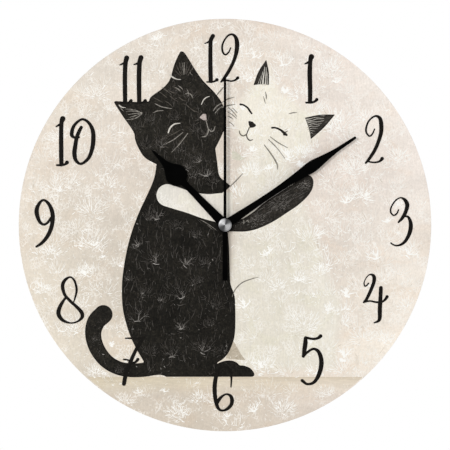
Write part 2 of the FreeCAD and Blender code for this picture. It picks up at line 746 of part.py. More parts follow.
def second_hand():
    # right edge from tail to tip: (x, z)
    right = [
        (1.25, -SECOND_TAIL), (1.5, -SECOND_TAIL + 0.3), (1.32, -3.0),
        (0.86, 3.0), (0.72, SECOND_LEN - 0.35), (0.4, SECOND_LEN),
    ]
    left = [(-x, z) for x, z in reversed(right)]
    hand = fuse(prism(right + left, *SECOND_Y), cylinder(3.4, *SECOND_Y))
    return turned(drill(hand, SECOND_COLLET_R, -30, -27, CENTRE), SECOND_ANGLE)


def second_hand_collet():
    return ring(SECOND_COLLET_R, ARBOR_R, SECOND_Y[0], -27.45)


def hub_cap():
    y = SECOND_Y[0]
    cap = revolve_y([
        (y, 0.0), (y, CAP_R), (y - 0.55, CAP_R), (y - 0.72, CAP_R - 0.2),
        (y - 0.86, CAP_R - 0.9), (y - 0.95, 0.0),
    ])
    return drill(cap, ARBOR_R, -28.95, -28, CENTRE)


# ---------------------------------------------------------------- export, one file per piece
for build in (
    dial_board, dial_print_film, foam_mounting_pad,
    movement_front_case, movement_rear_case, middle_plate,
    hour_wheel, cannon_pinion, centre_wheel, clutch_washer, motion_wheel, third_wheel,
    seconds_wheel, seconds_arbor, fifth_wheel, rotor_pinion, rotor_magnet,
    setting_pinion, setting_knob,
    coil_bobbin, coil_winding, coil_core, stator_plate,
    circuit_board, quartz_crystal, chip_encapsulant, solder_joints,
    positive_contact, negative_contact, negative_contact_spring,
    battery_cell, battery_sleeve,
    hour_hand, hour_hand_collet, minute_hand, minute_hand_collet,
    second_hand, second_hand_collet, hub_cap,
):
    save(build.__name__, build())
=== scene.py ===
"""A wall clock with two cats printed on its dial.

The dial lies in the XZ plane with its centre at the origin. X is to the viewer's right, Z is up and
the viewer is on the -Y side. Sizes are in mm unless noted.
"""
import math

import bpy
import numpy as np
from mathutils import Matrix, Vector
from mathutils import geometry


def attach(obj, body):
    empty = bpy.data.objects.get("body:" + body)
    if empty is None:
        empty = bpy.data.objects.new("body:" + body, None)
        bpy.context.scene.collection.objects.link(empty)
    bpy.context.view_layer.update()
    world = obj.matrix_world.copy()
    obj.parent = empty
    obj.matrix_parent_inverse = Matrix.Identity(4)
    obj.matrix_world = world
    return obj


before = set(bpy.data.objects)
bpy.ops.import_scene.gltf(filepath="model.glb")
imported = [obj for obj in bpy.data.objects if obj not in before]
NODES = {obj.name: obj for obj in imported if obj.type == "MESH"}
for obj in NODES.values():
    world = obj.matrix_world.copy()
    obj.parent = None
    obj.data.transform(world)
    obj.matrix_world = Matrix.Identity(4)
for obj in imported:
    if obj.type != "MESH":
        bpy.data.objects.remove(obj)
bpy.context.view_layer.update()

MM = 0.001

# Heights of the printed layers, as y. A more negative y is nearer the viewer.
Y_SINK = -22.235  # the back of a printed layer, just under the dial film's face
Y_FUR_SINK = -22.245
Y_GROUND = -22.275
Y_PALE = -22.300
Y_PALE_FIBRE = -22.335
Y_FUR_FIBRE = -22.362
Y_BLACK = -22.360
Y_ARM = -22.385
Y_SLEEVE = -22.410
Y_DETAIL = -22.445
Y_GREY_FIBRE = -22.455
Y_NUMERAL = -22.500
DIAL_R = 120.0
GROUND_Z = -88.3  # the top of the ground, where the cats sit


# ---------------------------------------------------------------------------
# Material nodes
# ---------------------------------------------------------------------------
def rgba(tone):
    """A linear RGBA colour, from a share of white, a display colour (0 to 255) or linear RGBA."""
    if isinstance(tone, (int, float)):
        return (tone, tone, tone, 1.0)
    if len(tone) == 4:
        return tone
    shares = [c / 255.0 for c in tone]
    linear = [c / 12.92 if c <= 0.04045 else ((c + 0.055) / 1.055) ** 2.4 for c in shares]
    return (*linear, 1.0)


class Mat:
    """Builds one node material. Its textures work in object coordinates in mm."""

    def __init__(self, name, rough=0.5, metal=0.0, spec=0.5):
        self.mat = bpy.data.materials.new(name)
        self.mat.use_nodes = True
        self.tree = self.mat.node_tree
        self.tree.nodes.clear()
        self.out = self.node("OutputMaterial")
        self.bsdf = self.node("BsdfPrincipled", {
            "Roughness": rough, "Metallic": metal, "Specular IOR Level": spec})
        self.put(self.out.inputs[0], self.bsdf.outputs[0])
        metres = self.node("TexCoord").outputs["Object"]
        self.mm = self.node("VectorMath", {0: metres, "Scale": 1000.0}, operation="SCALE").outputs[0]

    def put(self, socket, value):
        """Links a socket to an output, or sets its value."""
        if isinstance(value, bpy.types.NodeSocket):
            self.tree.links.new(value, socket)
        else:
            socket.default_value = rgba(value) if socket.type == "RGBA" else value

    def node(self, kind, values=None, **settings):
        """A new node. values are its inputs by name or place, settings are its properties."""
        node = self.tree.nodes.new("ShaderNode" + kind)
        for key, value in settings.items():
            setattr(node, key, value)
        for key, value in (values or {}).items():
            self.put(node.inputs[key], value)
        return node

    def at(self, loc=(0, 0, 0), turn=0.0, stretch=(1, 1, 1)):
        """Coordinates with loc as the origin, turned about Y (radians) and stretched."""
        return self.node("Mapping", {
            "Vector": self.mm, "Location": loc, "Rotation": (0, turn, 0), "Scale": stretch,
        }, vector_type="TEXTURE").outputs[0]

    def xyz(self, place=None):
        return self.node("SeparateXYZ", {0: place or self.mm}).outputs[:3]

    def noise(self, size, detail=3.0, rough=0.55, warp=0.0, **mapping):
        """Noise with features of a size in mm. mapping holds arguments of at()."""
        return self.node("TexNoise", {
            "Vector": self.at(**mapping) if mapping else self.mm, "Scale": 1.0 / size,
            "Detail": detail, "Roughness": rough, "Distortion": warp}).outputs["Fac"]

    def line_noise(self, value, scale):
        """Noise along one value, such as a radius."""
        return self.node("TexNoise", {"W": value, "Scale": scale, "Detail": 4.0},
                         noise_dimensions="1D").outputs["Fac"]

    def voronoi(self, size, feature="F1", rand=1.0, **mapping):
        return self.node("TexVoronoi", {
            "Vector": self.at(**mapping) if mapping else self.mm, "Scale": 1.0 / size,
            "Randomness": rand}, feature=feature).outputs["Distance"]

    def wave(self, size, warp, place=None, **settings):
        """A wave that repeats every size mm. Blender's repeats every pi/10 at a scale of 1."""
        return self.node("TexWave", {
            "Vector": place or self.mm, "Scale": math.pi / 10.0 / size, "Distortion": warp,
            "Detail": 2.0}, **settings).outputs["Fac"]

    def ramp(self, share, *stops):
        """A colour ramp with (position, tone) stops."""
        node = self.node("ValToRGB", {"Fac": share})
        elements = node.color_ramp.elements
        elements.remove(elements[-1])
        for place, (position, tone) in enumerate(stops):
            element = elements.new(position) if place else elements[0]
            element.position = position
            element.color = rgba(tone)
        return node.outputs["Color"]

    def step(self, value, off, on):
        """0 at off and beyond, 1 at on and beyond, smooth between."""
        return self.node("MapRange", {
            "Value": value, "From Min": min(off, on), "From Max": max(off, on),
            "To Min": float(off > on), "To Max": float(off < on),
        }, interpolation_type="SMOOTHSTEP").outputs["Result"]

    def band(self, value, low, high, soft):
        """1 between low and high, with soft edges inside them."""
        return self.times(self.step(value, off=low, on=low + soft),
                          self.step(value, off=high, on=high - soft))

    def calc(self, operation, *values):
        return self.node("Math", dict(enumerate(values)), operation=operation).outputs[0]

    def times(self, first, second):
        return self.calc("MULTIPLY", first, second)

    def plus(self, first, second):
        return self.calc("ADD", first, second)

    def weigh(self, *terms):
        """The sum of (value, weight) terms."""
        total = self.times(*terms[0])
        for term in terms[1:]:
            total = self.plus(total, self.times(*term))
        return total

    def hypot(self, first, second):
        squares = self.plus(self.times(first, first), self.times(second, second))
        return self.calc("SQRT", squares)

    def across(self, value, low=-DIAL_R, high=DIAL_R):
        """A value as 0 to 1 between low and high."""
        return self.calc("MULTIPLY_ADD", value, 1.0 / (high - low), -low / (high - low))

    def mix(self, amount, first, second, blend="MIX"):
        return self.node("Mix", {0: amount, 6: first, 7: second},
                         data_type="RGBA", blend_type=blend).outputs[2]

    def tint(self, colour, by, amount=1.0):
        """A colour multiplied by another."""
        return self.mix(amount, colour, by, "MULTIPLY")

    def shade(self, colour, share, *stops, amount=1.0):
        """A colour multiplied by a ramp."""
        return self.tint(colour, self.ramp(share, *stops), amount)

    def attr(self, name):
        return self.node("Attribute", attribute_name=name).outputs["Fac"]

    def bevel(self, radius):
        return self.node("Bevel", {"Radius": radius * MM}, samples=4).outputs[0]

    def finish(self, colour, height, depth, strength=0.5, rough=None, normal=None):
        """Sets the colour, the bump and the roughness, and gives the material."""
        self.put(self.bsdf.inputs["Base Color"], colour)
        if rough is not None:
            self.put(self.bsdf.inputs["Roughness"], rough)
        values = {"Strength": strength, "Distance": depth * MM, "Height": height}
        if normal is not None:
            values["Normal"] = normal
        self.put(self.bsdf.inputs["Normal"], self.node("Bump", values).outputs[0])
        return self.mat


# ---------------------------------------------------------------------------
# Flat shapes and the meshes made from them
# ---------------------------------------------------------------------------
def spline(points, per):
    """A Catmull-Rom curve through points of any dimension, with per steps between two of them."""
    points = [np.array(p, float) for p in points]
    if len(points) < 3:
        return [points[0] + (points[-1] - points[0]) * i / per for i in range(per + 1)]
    points = [2 * points[0] - points[1]] + points + [2 * points[-1] - points[-2]]
    curve = []
    for a, b, c, d in zip(points, points[1:], points[2:], points[3:]):
        for i in range(per):
            t = i / per
            curve.append(0.5 * (2 * b + (c - a) * t + (2 * a - 5 * b + 4 * c - d) * t * t
                                + (3 * b - a - 3 * c + d) * t**3))
    curve.append(points[-2])
    return curve


def outline(*runs, per=5):
    """A closed outline of smooth runs that meet at corners."""
    return [(float(p[0]), float(p[1])) for run in runs for p in spline(run, per)[:-1]]


def join(first, second, fillet):
    """The union of two fields, with a fillet."""
    h = np.clip(0.5 + 0.5 * (second - first) / fillet, 0, 1)
    return second * (1 - h) + first * h - fillet * h * (1 - h)


# Marching squares: for each pattern of inner corners, the cell sides that lines run from and to.
SEGMENTS = {
    1: [(0, 3)], 2: [(1, 0)], 3: [(1, 3)], 4: [(2, 1)], 5: [(0, 3), (2, 1)], 6: [(2, 0)],
    7: [(2, 3)], 8: [(3, 2)], 9: [(0, 2)], 10: [(1, 0), (3, 2)], 11: [(1, 2)], 12: [(3, 1)],
    13: [(0, 1)], 14: [(3, 0)]}


class Plane:
    """A grid of points in the dial's plane. Shapes on it are distance fields, negative inside."""

    def __init__(self, left, right, low, high, pitch):
        self.left, self.low, self.pitch = left, low, pitch
        columns = int(round((right - left) / pitch)) + 1
        rows = int(round((high - low) / pitch)) + 1
        self.x, self.z = np.meshgrid(left + pitch * np.arange(columns),
                                     low + pitch * np.arange(rows))

    def ellipse(self, x, z, half_width, half_height, degrees=0.0):
        turn = math.radians(degrees)
        u = (self.x - x) * math.cos(turn) + (self.z - z) * math.sin(turn)
        v = -(self.x - x) * math.sin(turn) + (self.z - z) * math.cos(turn)
        reach = np.sqrt((u / half_width) ** 2 + (v / half_height) ** 2)
        slope = np.sqrt((u / half_width**2) ** 2 + (v / half_height**2) ** 2)
        return reach * (reach - 1.0) / np.maximum(slope, 1e-6)

    def to_segment(self, start, end):
        """The distance to a straight line, and the share along it of the nearest point."""
        dx, dz = end[0] - start[0], end[1] - start[1]
        square = max(dx * dx + dz * dz, 1e-9)
        along = (self.x - start[0]) * dx + (self.z - start[1]) * dz
        share = np.clip(along / square, 0.0, 1.0)
        return np.hypot(self.x - start[0] - share * dx, self.z - start[1] - share * dz), share

    def capsule(self, start, end):
        """A tapered capsule between two (x, z, radius) ends."""
        distance, share = self.to_segment(start, end)
        return distance - (start[2] + share * (end[2] - start[2]))

    def polygon(self, points, rounding=0.0):
        """A polygon with corners rounded outwards."""
        best = np.full(self.x.shape, 1e9)
        inside = np.zeros(self.x.shape, bool)
        for start, end in zip(points, points[1:] + points[:1]):
            best = np.minimum(best, self.to_segment(start, end)[0])
            dx, dz = end[0] - start[0], end[1] - start[1]
            if dz:
                crosses = (start[1] > self.z) != (end[1] > self.z)
                inside ^= crosses & (self.x < start[0] + (self.z - start[1]) * dx / dz)
        return np.where(inside, -best, best) - rounding

    def brush(self, strokes, per=7):
        """Brush strokes: each is a list of (x, z, width)."""
        best = np.full(self.x.shape, 1e9)
        for stroke in strokes:
            ends = [(p[0], p[1], max(p[2], 0.1) / 2) for p in spline(stroke, per)]
            for start, end in zip(ends[:-1], ends[1:]):
                best = np.minimum(best, self.capsule(start, end))
        return best

    def sample(self, field, x, z):
        """A field's value at points, by bilinear interpolation."""
        u = np.clip((np.asarray(x) - self.left) / self.pitch, 0, field.shape[1] - 1.001)
        v = np.clip((np.asarray(z) - self.low) / self.pitch, 0, field.shape[0] - 1.001)
        i, j = u.astype(int), v.astype(int)
        u, v = u - i, v - j
        return (field[j, i] * (1 - u) * (1 - v) + field[j, i + 1] * u * (1 - v)
                + field[j + 1, i] * (1 - u) * v + field[j + 1, i + 1] * u * v)

    def touches(self, field, points):
        """Whether any of the points is on the grid and inside the shape."""
        x, z = np.array(points, float).T
        on = (x > self.left) & (x < self.left + self.pitch * (field.shape[1] - 1))
        on &= (z > self.low) & (z < self.low + self.pitch * (field.shape[0] - 1))
        return bool(((self.sample(field, x, z) < 0) & on).any())

    def contours(self, field, level):
        """Closed loops where a field crosses a level."""
        over = field - level
        over[0, :] = over[-1, :] = 1.0
        over[:, 0] = over[:, -1] = 1.0
        over[over == 0] = 1e-7
        rows, columns = over.shape
        count = rows * columns
        low = over < 0
        cells = low[:-1, :-1] * 1 + low[:-1, 1:] * 2 + low[1:, 1:] * 4 + low[1:, :-1] * 8
        follow = {}
        for j, i in np.argwhere((cells != 0) & (cells != 15)).tolist():
            here = j * columns + i
            sides = (here, count + here + 1, here + columns, count + here)
            for start, end in SEGMENTS[int(cells[j, i])]:
                follow[sides[start]] = sides[end]

        def crossing(side):
            # level sides are numbered below count, upright ones from count
            upright, place = divmod(side, count)
            j, i = divmod(place, columns)
            share = over[j, i] / (over[j, i] - over[j + upright, i + 1 - upright])
            return (self.left + (i + share * (1 - upright)) * self.pitch,
                    self.low + (j + share * upright) * self.pitch)

        loops = []
        while follow:
            start, side = follow.popitem()
            loop = [start]
            while side != start:
                loop.append(side)
                side = follow.pop(side)
            if len(loop) > 5:
                loops.append(np.array([crossing(side) for side in loop]))
        return loops


def plane_round(points, margin, pitch):
    """A grid that holds some points with a margin."""
    points = np.array(points)
    low, high = points.min(0) - margin, points.max(0) + margin
    return Plane(low[0], high[0], low[1], high[1], pitch)


def thin(loop, tolerance):
    """Drops points of a closed loop that lie near the line through the ones kept."""
    count = len(loop)
    far = int(np.argmax(np.hypot(*(loop - loop[0]).T)))
    keep = {0, far}
    stack = [(0, far), (far, count)]
    while stack:
        a, b = stack.pop()
        if b - a < 2:
            continue
        start = loop[a]
        along = loop[b % count] - start
        length = math.hypot(*along)
        away = loop[a + 1:b] - start
        if length > 1e-9:
            distance = np.abs(away[:, 0] * along[1] - away[:, 1] * along[0]) / length
        else:
            distance = np.hypot(*away.T)
        k = int(np.argmax(distance))
        if distance[k] > tolerance or (b - a > 2 and length > 6.0):
            keep.add(a + 1 + k)
            stack += [(a, a + 1 + k), (a + 1 + k, b)]
    return loop[sorted(keep)]


def printed(name, points, faces, attribute, values, material):
    """A printed mesh that rides on the clock, with one number per point as an attribute."""
    mesh = bpy.data.meshes.new(name)
    mesh.from_pydata([(x * MM, y * MM, z * MM) for x, y, z in points], [], faces)
    mesh.update()
    layer = mesh.attributes.new(attribute, "FLOAT", "POINT")
    layer.data.foreach_set("value", np.array(values, np.float32))
    piece = bpy.data.objects.new(name, mesh)
    bpy.context.scene.collection.objects.link(piece)
    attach(piece, "clock_body")
    mesh.materials.clear()
    mesh.materials.append(material)


def relief(name, plane, field, y_front, material, levels=(), rise=None, tolerance=0.02, fill=4.0):
    """A printed layer: a closed thin mesh of the shape where the field is negative.

    levels are further contours inside the shape, rise(depth) gives the share of the full height
    at a depth inside the edge, and fill is the pitch of the points inside (0 for none).
    """
    points, edges = [], []
    for level in (0.0,) + levels:
        for loop in plane.contours(field, level):
            loop = thin(loop, tolerance if level == 0 else tolerance * 2)
            if len(loop) < 4:
                continue
            first, count = len(points), len(loop)
            points += [Vector((x, z)) for x, z in loop]
            edges += [(first + i, first + (i + 1) % count) for i in range(count)]
    if fill:
        x, z = np.meshgrid(np.arange(plane.x.min(), plane.x.max(), fill),
                           np.arange(plane.z.min(), plane.z.max(), fill * 0.866))
        x = x + (np.arange(x.shape[0]) % 2)[:, None] * fill / 2
        x, z = x.ravel(), z.ravel()
        deep = plane.sample(field, x, z) < min((0.0,) + levels) - fill * 0.35
        points += [Vector(p) for p in zip(x[deep], z[deep])]
    flat = geometry.delaunay_2d_cdt(points, edges, [], 0, 1e-5)
    points = np.array([(p[0], p[1]) for p in flat[0]])
    tris = np.array([f for f in flat[2] if len(f) == 3])
    middle = points[tris].mean(1)
    tris = tris[plane.sample(field, middle[:, 0], middle[:, 1]) < 0]
    # every triangle counter-clockwise as the viewer sees it
    a, b, c = (points[tris[:, k]] for k in range(3))
    area = (b[:, 0] - a[:, 0]) * (c[:, 1] - a[:, 1]) - (b[:, 1] - a[:, 1]) * (c[:, 0] - a[:, 0])
    sound = np.abs(area) > 1e-7
    tris, area = tris[sound], area[sound]
    tris[area < 0] = tris[area < 0][:, ::-1]
    used = np.unique(tris)
    renumber = -np.ones(len(points), int)
    renumber[used] = np.arange(len(used))
    points, tris = points[used], renumber[tris].tolist()
    sides = dict.fromkeys((t[k], t[(k + 1) % 3]) for t in tris for k in range(3))
    rim = [(a, b) for a, b in sides if (b, a) not in sides]
    depth = np.maximum(-plane.sample(field, points[:, 0], points[:, 1]), 0.0)
    depth[np.array(rim).ravel()] = 0.0
    share = rise(depth) if rise else np.ones(len(depth))
    y_low = Y_SINK - 0.02
    count = len(points)
    front = [(p[0], y_low + (y_front - y_low) * s, p[1]) for p, s in zip(points, share)]
    back = [(p[0], Y_SINK, p[1]) for p in points]
    faces = [tuple(t) for t in tris] + [(c + count, b + count, a + count) for a, b, c in tris]
    faces += [(a, a + count, b + count, b) for a, b in rim]
    printed(name, front + back, faces, "depth", np.concatenate([depth, depth]), material)


def round_edge(width, first=0.35):
    """A rounded ink edge: from a first share of the height at the rim to all of it at a depth."""
    def rise(depth):
        t = np.clip(depth / width, 0, 1)
        return first + (1 - first) * np.sqrt(np.clip(1 - (1 - t) ** 2, 0, 1))
    return rise


def fibre_mesh(name, strokes, y_base, material):
    """Thin ridged strokes, each ([(x, z)], width, y of the ridge, tone)."""
    points, faces, tones = [], [], []
    for path, width, y_top, tone in strokes:
        path = np.array(path, float)
        count = len(path)
        along = np.gradient(path, axis=0)
        along /= np.maximum(np.hypot(along[:, 0], along[:, 1]), 1e-9)[:, None]
        side = np.stack([-along[:, 1], along[:, 0]], 1)
        start = len(points)
        points.append((path[0, 0], y_base, path[0, 1]))
        for k in range(1, count - 1):
            # the stroke swells from its start and stays broad near its end
            s = k / (count - 1)
            swell = math.sin(math.pi * min(s * 1.15 + 0.08, 1.0)) ** 0.6 if s < 0.8 else 0.75
            half = 0.5 * width * swell
            left, right = path[k] + side[k] * half, path[k] - side[k] * half
            points += [(left[0], y_base, left[1]), (right[0], y_base, right[1]),
                       (path[k, 0], y_top, path[k, 1])]
        points.append((path[-1, 0], y_base, path[-1, 1]))
        tones += [tone] * (2 + 3 * (count - 2))
        end = len(points) - 1
        rings = [(k, k + 1, k + 2) for k in range(start + 1, end, 3)]
        left, right, top = rings[0]
        faces += [(start, top, left), (start, right, top), (start, left, right)]
        for (l0, r0, t0), (l1, r1, t1) in zip(rings[:-1], rings[1:]):
            faces += [(t0, t1, l1, l0), (r0, r1, t1, t0), (l0, l1, r1, r0)]
        left, right, top = rings[-1]
        faces += [(top, end, left), (right, end, top), (left, end, right)]
    printed(name, points, faces, "tone", tones, material)


# ---------------------------------------------------------------------------
# Materials of the printed dial
# ---------------------------------------------------------------------------
# The paper's colour is a ramp up the dial times a ramp across it. The second is divided by its
# greatest values, so that it only darkens, and the first is raised to make up for that.
PAPER_MOST = (1.184, 1.204, 1.266)
PAPER_MIDDLE = (0.995, 1.002, 1.006)
# (share of the way up, display colour)
PAPER_UP = (
    (0.0, (217, 207, 193)), (0.083, (218, 208, 194)), (0.125, (224, 215, 201)),
    (0.2, (226, 217, 202)), (0.25, (223, 214, 200)), (0.333, (220, 211, 197)),
    (0.5, (223, 214, 201)), (0.667, (227, 217, 205)), (0.79, (232, 223, 211)),
    (0.917, (234, 226, 215)), (0.96, (232, 223, 212)), (1.0, (230, 220, 209)))
# (share of the way from left to right, factors on red, green and blue)
PAPER_ACROSS = (
    (0.0, (1.10, 1.10, 1.10)), (0.042, (1.09, 1.094, 1.089)), (0.125, (1.027, 1.03, 1.026)),
    (0.23, (0.982, 0.98, 0.98)), (0.417, (0.98, 0.972, 0.96)), (0.583, (1.02, 1.01, 1.01)),
    (0.75, (1.084, 1.08, 1.118)), (0.854, (1.12, 1.13, 1.18)), (0.958, (1.21, 1.23, 1.295)),
    (1.0, (1.21, 1.23, 1.295)))
# (share of the way up, strength) of the paler patches on the right
PALE_PATCHES = (
    (0.05, 0.5), (0.2, 1.0), (0.3, 0.75), (0.38, 0.62), (0.46, 0.12), (0.52, 0.0), (0.62, 0.0),
    (0.70, 0.3), (0.78, 0.1), (0.85, 0.05), (1.0, 0.0))


def paper_tone(colour):
    shares = zip(rgba(colour), PAPER_MIDDLE, PAPER_MOST)
    return (*(min(c / middle * most, 1.0) for c, middle, most in shares), 1.0)


def paper_share(factors):
    return (*(f / most for f, most in zip(factors, PAPER_MOST)), 1.0)


def paper_colour(m, calm=0.0):
    """The mottled cream of the print, and its patterns. calm, 0 to 1, evens out the mottling."""
    x, _, z = m.xyz()
    across, up = m.across(x), m.across(z)
    colour = m.ramp(up, *((place, paper_tone(tone)) for place, tone in PAPER_UP))
    colour = m.shade(colour, across, *((place, paper_share(f)) for place, f in PAPER_ACROSS))
    patches = m.times(m.ramp(up, *PALE_PATCHES), m.step(x, off=15.0, on=80.0))
    colour = m.mix(patches, colour, m.tint(colour, (1.09, 1.09, 1.08, 1.0)))
    cloud = m.noise(size=20.0, warp=0.4, stretch=(1.9, 1, 1))
    colour = m.shade(colour, cloud, (0.3, 0.905), (0.5, 0.985), (0.7, 1.06), amount=0.8)
    warm = m.noise(size=12.0, warp=0.8, loc=(9, 0, 4), stretch=(2, 1, 1))
    warm = m.times(m.step(warm, off=0.5, on=0.68), 0.55 * (1 - calm))
    colour = m.mix(warm, colour, m.tint(colour, (0.985, 0.935, 0.89, 1.0)))
    even = 1.0 - 0.3 * calm
    strokes = m.noise(size=1.0, rough=0.65, warp=1.4, stretch=(1, 1, 3.4))
    colour = m.shade(colour, strokes, (0.28, 0.925), (0.5, 0.99), (0.72, 1.07), amount=even)
    grit = m.noise(size=1.15, rough=0.75)
    colour = m.shade(colour, grit, (0.25, 0.90), (0.5, 0.99), (0.75, 1.09), amount=even)
    upright = m.noise(size=1.0, detail=2.0, rough=0.6, stretch=(0.9, 1, 12))
    colour = m.shade(colour, upright, (0.3, 0.955), (0.5, 1.0), (0.7, 1.03),
                     amount=0.5 + 0.4 * calm)
    # pale veins, in patches
    vein = m.voronoi(size=1.5, feature="DISTANCE_TO_EDGE", stretch=(1, 1, 1.3))
    patch = m.step(m.noise(size=8.0, warp=0.5), off=0.5, on=0.6)
    web = m.times(m.step(vein, off=0.12, on=0.03), m.times(patch, 0.6))
    return m.mix(web, colour, (255, 252, 246)), cloud, strokes, grit, web


def finish_paper(m, colour, strokes, grit, web, rough=None):
    height = m.weigh((strokes, 0.5), (grit, 0.5))
    height = m.plus(height, m.times(web, 0.8))
    return m.finish(colour, height, depth=0.03, strength=0.6, rough=rough)


def mat_paper():
    m = Mat("dial_print_paper", rough=0.62, spec=0.12)
    colour, _, strokes, grit, web = paper_colour(m)
    rough = m.ramp(grit, (0.2, 0.52), (0.8, 0.72))
    return finish_paper(m, colour, strokes, grit, web, rough)


def mat_ground():
    """The tan ground, which fades into the paper below."""
    m = Mat("print_ground_tan", rough=0.62, spec=0.12)
    colour, _, strokes, grit, web = paper_colour(m)
    x, _, z = m.xyz()
    wobble = m.calc("MULTIPLY_ADD", m.noise(size=14.0), 7.0)
    fade = m.step(m.plus(z, wobble), off=-96.5, on=-85.5)
    level = m.noise(size=1.0, rough=0.6, warp=0.3, stretch=(9, 1, 0.9))
    tan = m.mix(m.step(x, off=-60.0, on=70.0), (216, 204, 181), (226, 213, 194))
    tan = m.shade(tan, level, (0.3, 0.90), (0.5, 1.0), (0.7, 1.09))
    tan = m.shade(tan, grit, (0.25, 0.93), (0.75, 1.06), amount=0.8)
    # a darker line where the ground meets the wall behind the cats
    line = m.times(m.step(z, off=-90.6, on=-88.6), 0.45)
    tan = m.mix(line, tan, (203, 189, 166))
    colour = m.mix(m.times(fade, 0.95), colour, tan)
    return finish_paper(m, colour, strokes, grit, web)


def mat_pale(name, tones, feather=0.0, left_grey=0.0):
    """Pale fur. tones are (z, colour) from low to high; feather is the width in mm over which
    it fades into the paper; left_grey is how grey its left end is."""
    m = Mat(name, rough=0.62, spec=0.12)
    colour, cloud, _, grit, web = paper_colour(m, calm=0.7)
    x, _, z = m.xyz()
    tone = m.ramp(m.across(z), *(((h + DIAL_R) / (2 * DIAL_R), c) for h, c in tones))
    tone = m.mix(m.times(m.step(x, off=45.0, on=56.0), 0.35), tone, (248, 243, 232))
    if left_grey:
        grey = m.times(m.step(x, off=-24.0, on=-38.0), left_grey)
        tone = m.mix(grey, tone, (220, 218, 209))
    hair = m.noise(size=1.0, rough=0.65, warp=1.6, stretch=(0.8, 1, 2.8))
    fur = m.shade(tone, hair, (0.28, 0.925), (0.5, 0.995), (0.74, 1.065))
    fur = m.shade(fur, grit, (0.25, 0.91), (0.5, 0.985), (0.75, 1.07))
    upright = m.noise(size=1.0, detail=2.0, rough=0.6, loc=(3, 0, 5), stretch=(0.8, 1, 11))
    fur = m.shade(fur, upright, (0.3, 0.95), (0.5, 0.995), (0.7, 1.03), amount=0.9)
    fur = m.shade(fur, cloud, (0.3, 0.96), (0.7, 1.03), amount=0.6)
    green = m.times(m.step(m.noise(size=12.0, detail=2.0, warp=0.6), off=0.5, on=0.68), 0.5)
    fur = m.mix(green, fur, m.tint(fur, (0.965, 0.975, 0.915, 1.0)))
    fur = m.mix(m.times(web, 0.9), fur, (254, 251, 245))
    if feather:
        fur = m.mix(m.step(m.attr("depth"), off=0.0, on=feather), colour, fur)
    return finish_paper(m, fur, hair, grit, web)


def mat_black_fur(name, base):
    def shifted(*change):
        return tuple(b + c for b, c in zip(base, change))

    m = Mat(name, rough=0.6, spec=0.05)
    hair = m.noise(size=1.0, detail=4.0, rough=0.7, warp=1.8, stretch=(0.6, 1, 2.4))
    lying = m.noise(size=1.0, detail=4.0, rough=0.7, warp=1.5,
                    loc=(40, 0, 12), turn=0.25, stretch=(2.2, 1, 0.6))
    blot = m.noise(size=8.0, warp=0.8)
    colour = m.ramp(hair, (0.25, shifted(-10, -10, -9)), (0.5, base),
                    (0.64, shifted(18, 15, 12)), (0.8, shifted(56, 50, 44)))
    over = m.ramp(lying, (0.3, shifted(-8, -8, -8)), (0.55, shifted(4, 3, 2)),
                  (0.78, shifted(50, 44, 38)))
    colour = m.mix(m.times(m.step(blot, off=0.42, on=0.62), 0.6), colour, over)
    fine = m.noise(size=1.2, detail=4.0, rough=0.8)
    colour = m.shade(colour, fine, (0.3, 0.35), (0.5, 0.95), (0.7, 1.9))
    wide = m.noise(size=14.0, detail=2.0, warp=0.4)
    colour = m.shade(colour, wide, (0.3, 0.75), (0.7, 1.25), amount=0.9)
    # the head and the tail are a little lighter than the body
    x, _, z = m.xyz()
    lift = m.calc("MAXIMUM", m.step(z, off=22.0, on=42.0),
                  m.times(m.step(x, off=-60.0, on=-68.0), 0.75))
    colour = m.shade(colour, lift, (0.0, 1.0), (1.0, 1.42))
    # the outline is a touch darker
    rim = m.times(m.step(m.attr("depth"), off=1.1, on=0.2), 0.6)
    colour = m.mix(rim, colour, (22, 20, 18))
    return m.finish(colour, m.plus(hair, lying), depth=0.03)


def mat_ink():
    m = Mat("print_ink_black", rough=0.55, spec=0.05)
    grain = m.noise(size=0.8, detail=4.0, rough=0.7)
    drag = m.noise(size=1.0, rough=0.6, stretch=(0.35, 1, 3))
    colour = m.ramp(grain, (0.3, (17, 15, 13)), (0.6, (22, 20, 17)), (0.8, (42, 38, 32)))
    colour = m.mix(m.times(m.step(drag, off=0.58, on=0.72), 0.35), colour, (60, 56, 50))
    return m.finish(colour, m.plus(grain, drag), depth=0.02)


def mat_line(name, dark, light, toned=False):
    """Brush or hair lines. Their shade follows a noise and, if toned, the tone attribute too."""
    m = Mat(name, rough=0.6, spec=0.08)
    grain = m.noise(size=1.2, rough=0.7)
    if toned:
        share = m.plus(m.times(grain, 0.3), m.attr("tone"))
        colour = m.ramp(share, (0.1, dark), (1.1, light))
    else:
        colour = m.ramp(grain, (0.32, dark), (0.68, light))
    return m.finish(colour, grain, depth=0.02, strength=0.4)


def mat_ear(name, turn):
    """Dark strands that run along an ear, with paler ones between."""
    m = Mat(name, rough=0.6, spec=0.06)
    strands = m.noise(size=1.0, rough=0.6, warp=0.7, turn=-turn, stretch=(4.5, 1, 0.42))
    grain = m.noise(size=0.5, rough=0.7)
    colour = m.ramp(strands, (0.34, (36, 33, 31)), (0.55, (54, 51, 47)),
                    (0.68, (88, 84, 78)), (0.8, (128, 122, 113)))
    colour = m.shade(colour, grain, (0.3, 0.85), (0.7, 1.15), amount=0.8)
    return m.finish(colour, strands, depth=0.03)


PAPER = mat_paper()
LINE_DARK = mat_line("print_line_dark", (22, 20, 18), (44, 40, 36))
FIBRE_PALE = mat_line("paper_fibre_pale", (206, 196, 181), (255, 254, 250), toned=True)
EAR_STRAND = mat_line("ear_strand_pale", (176, 171, 162), (236, 232, 222))

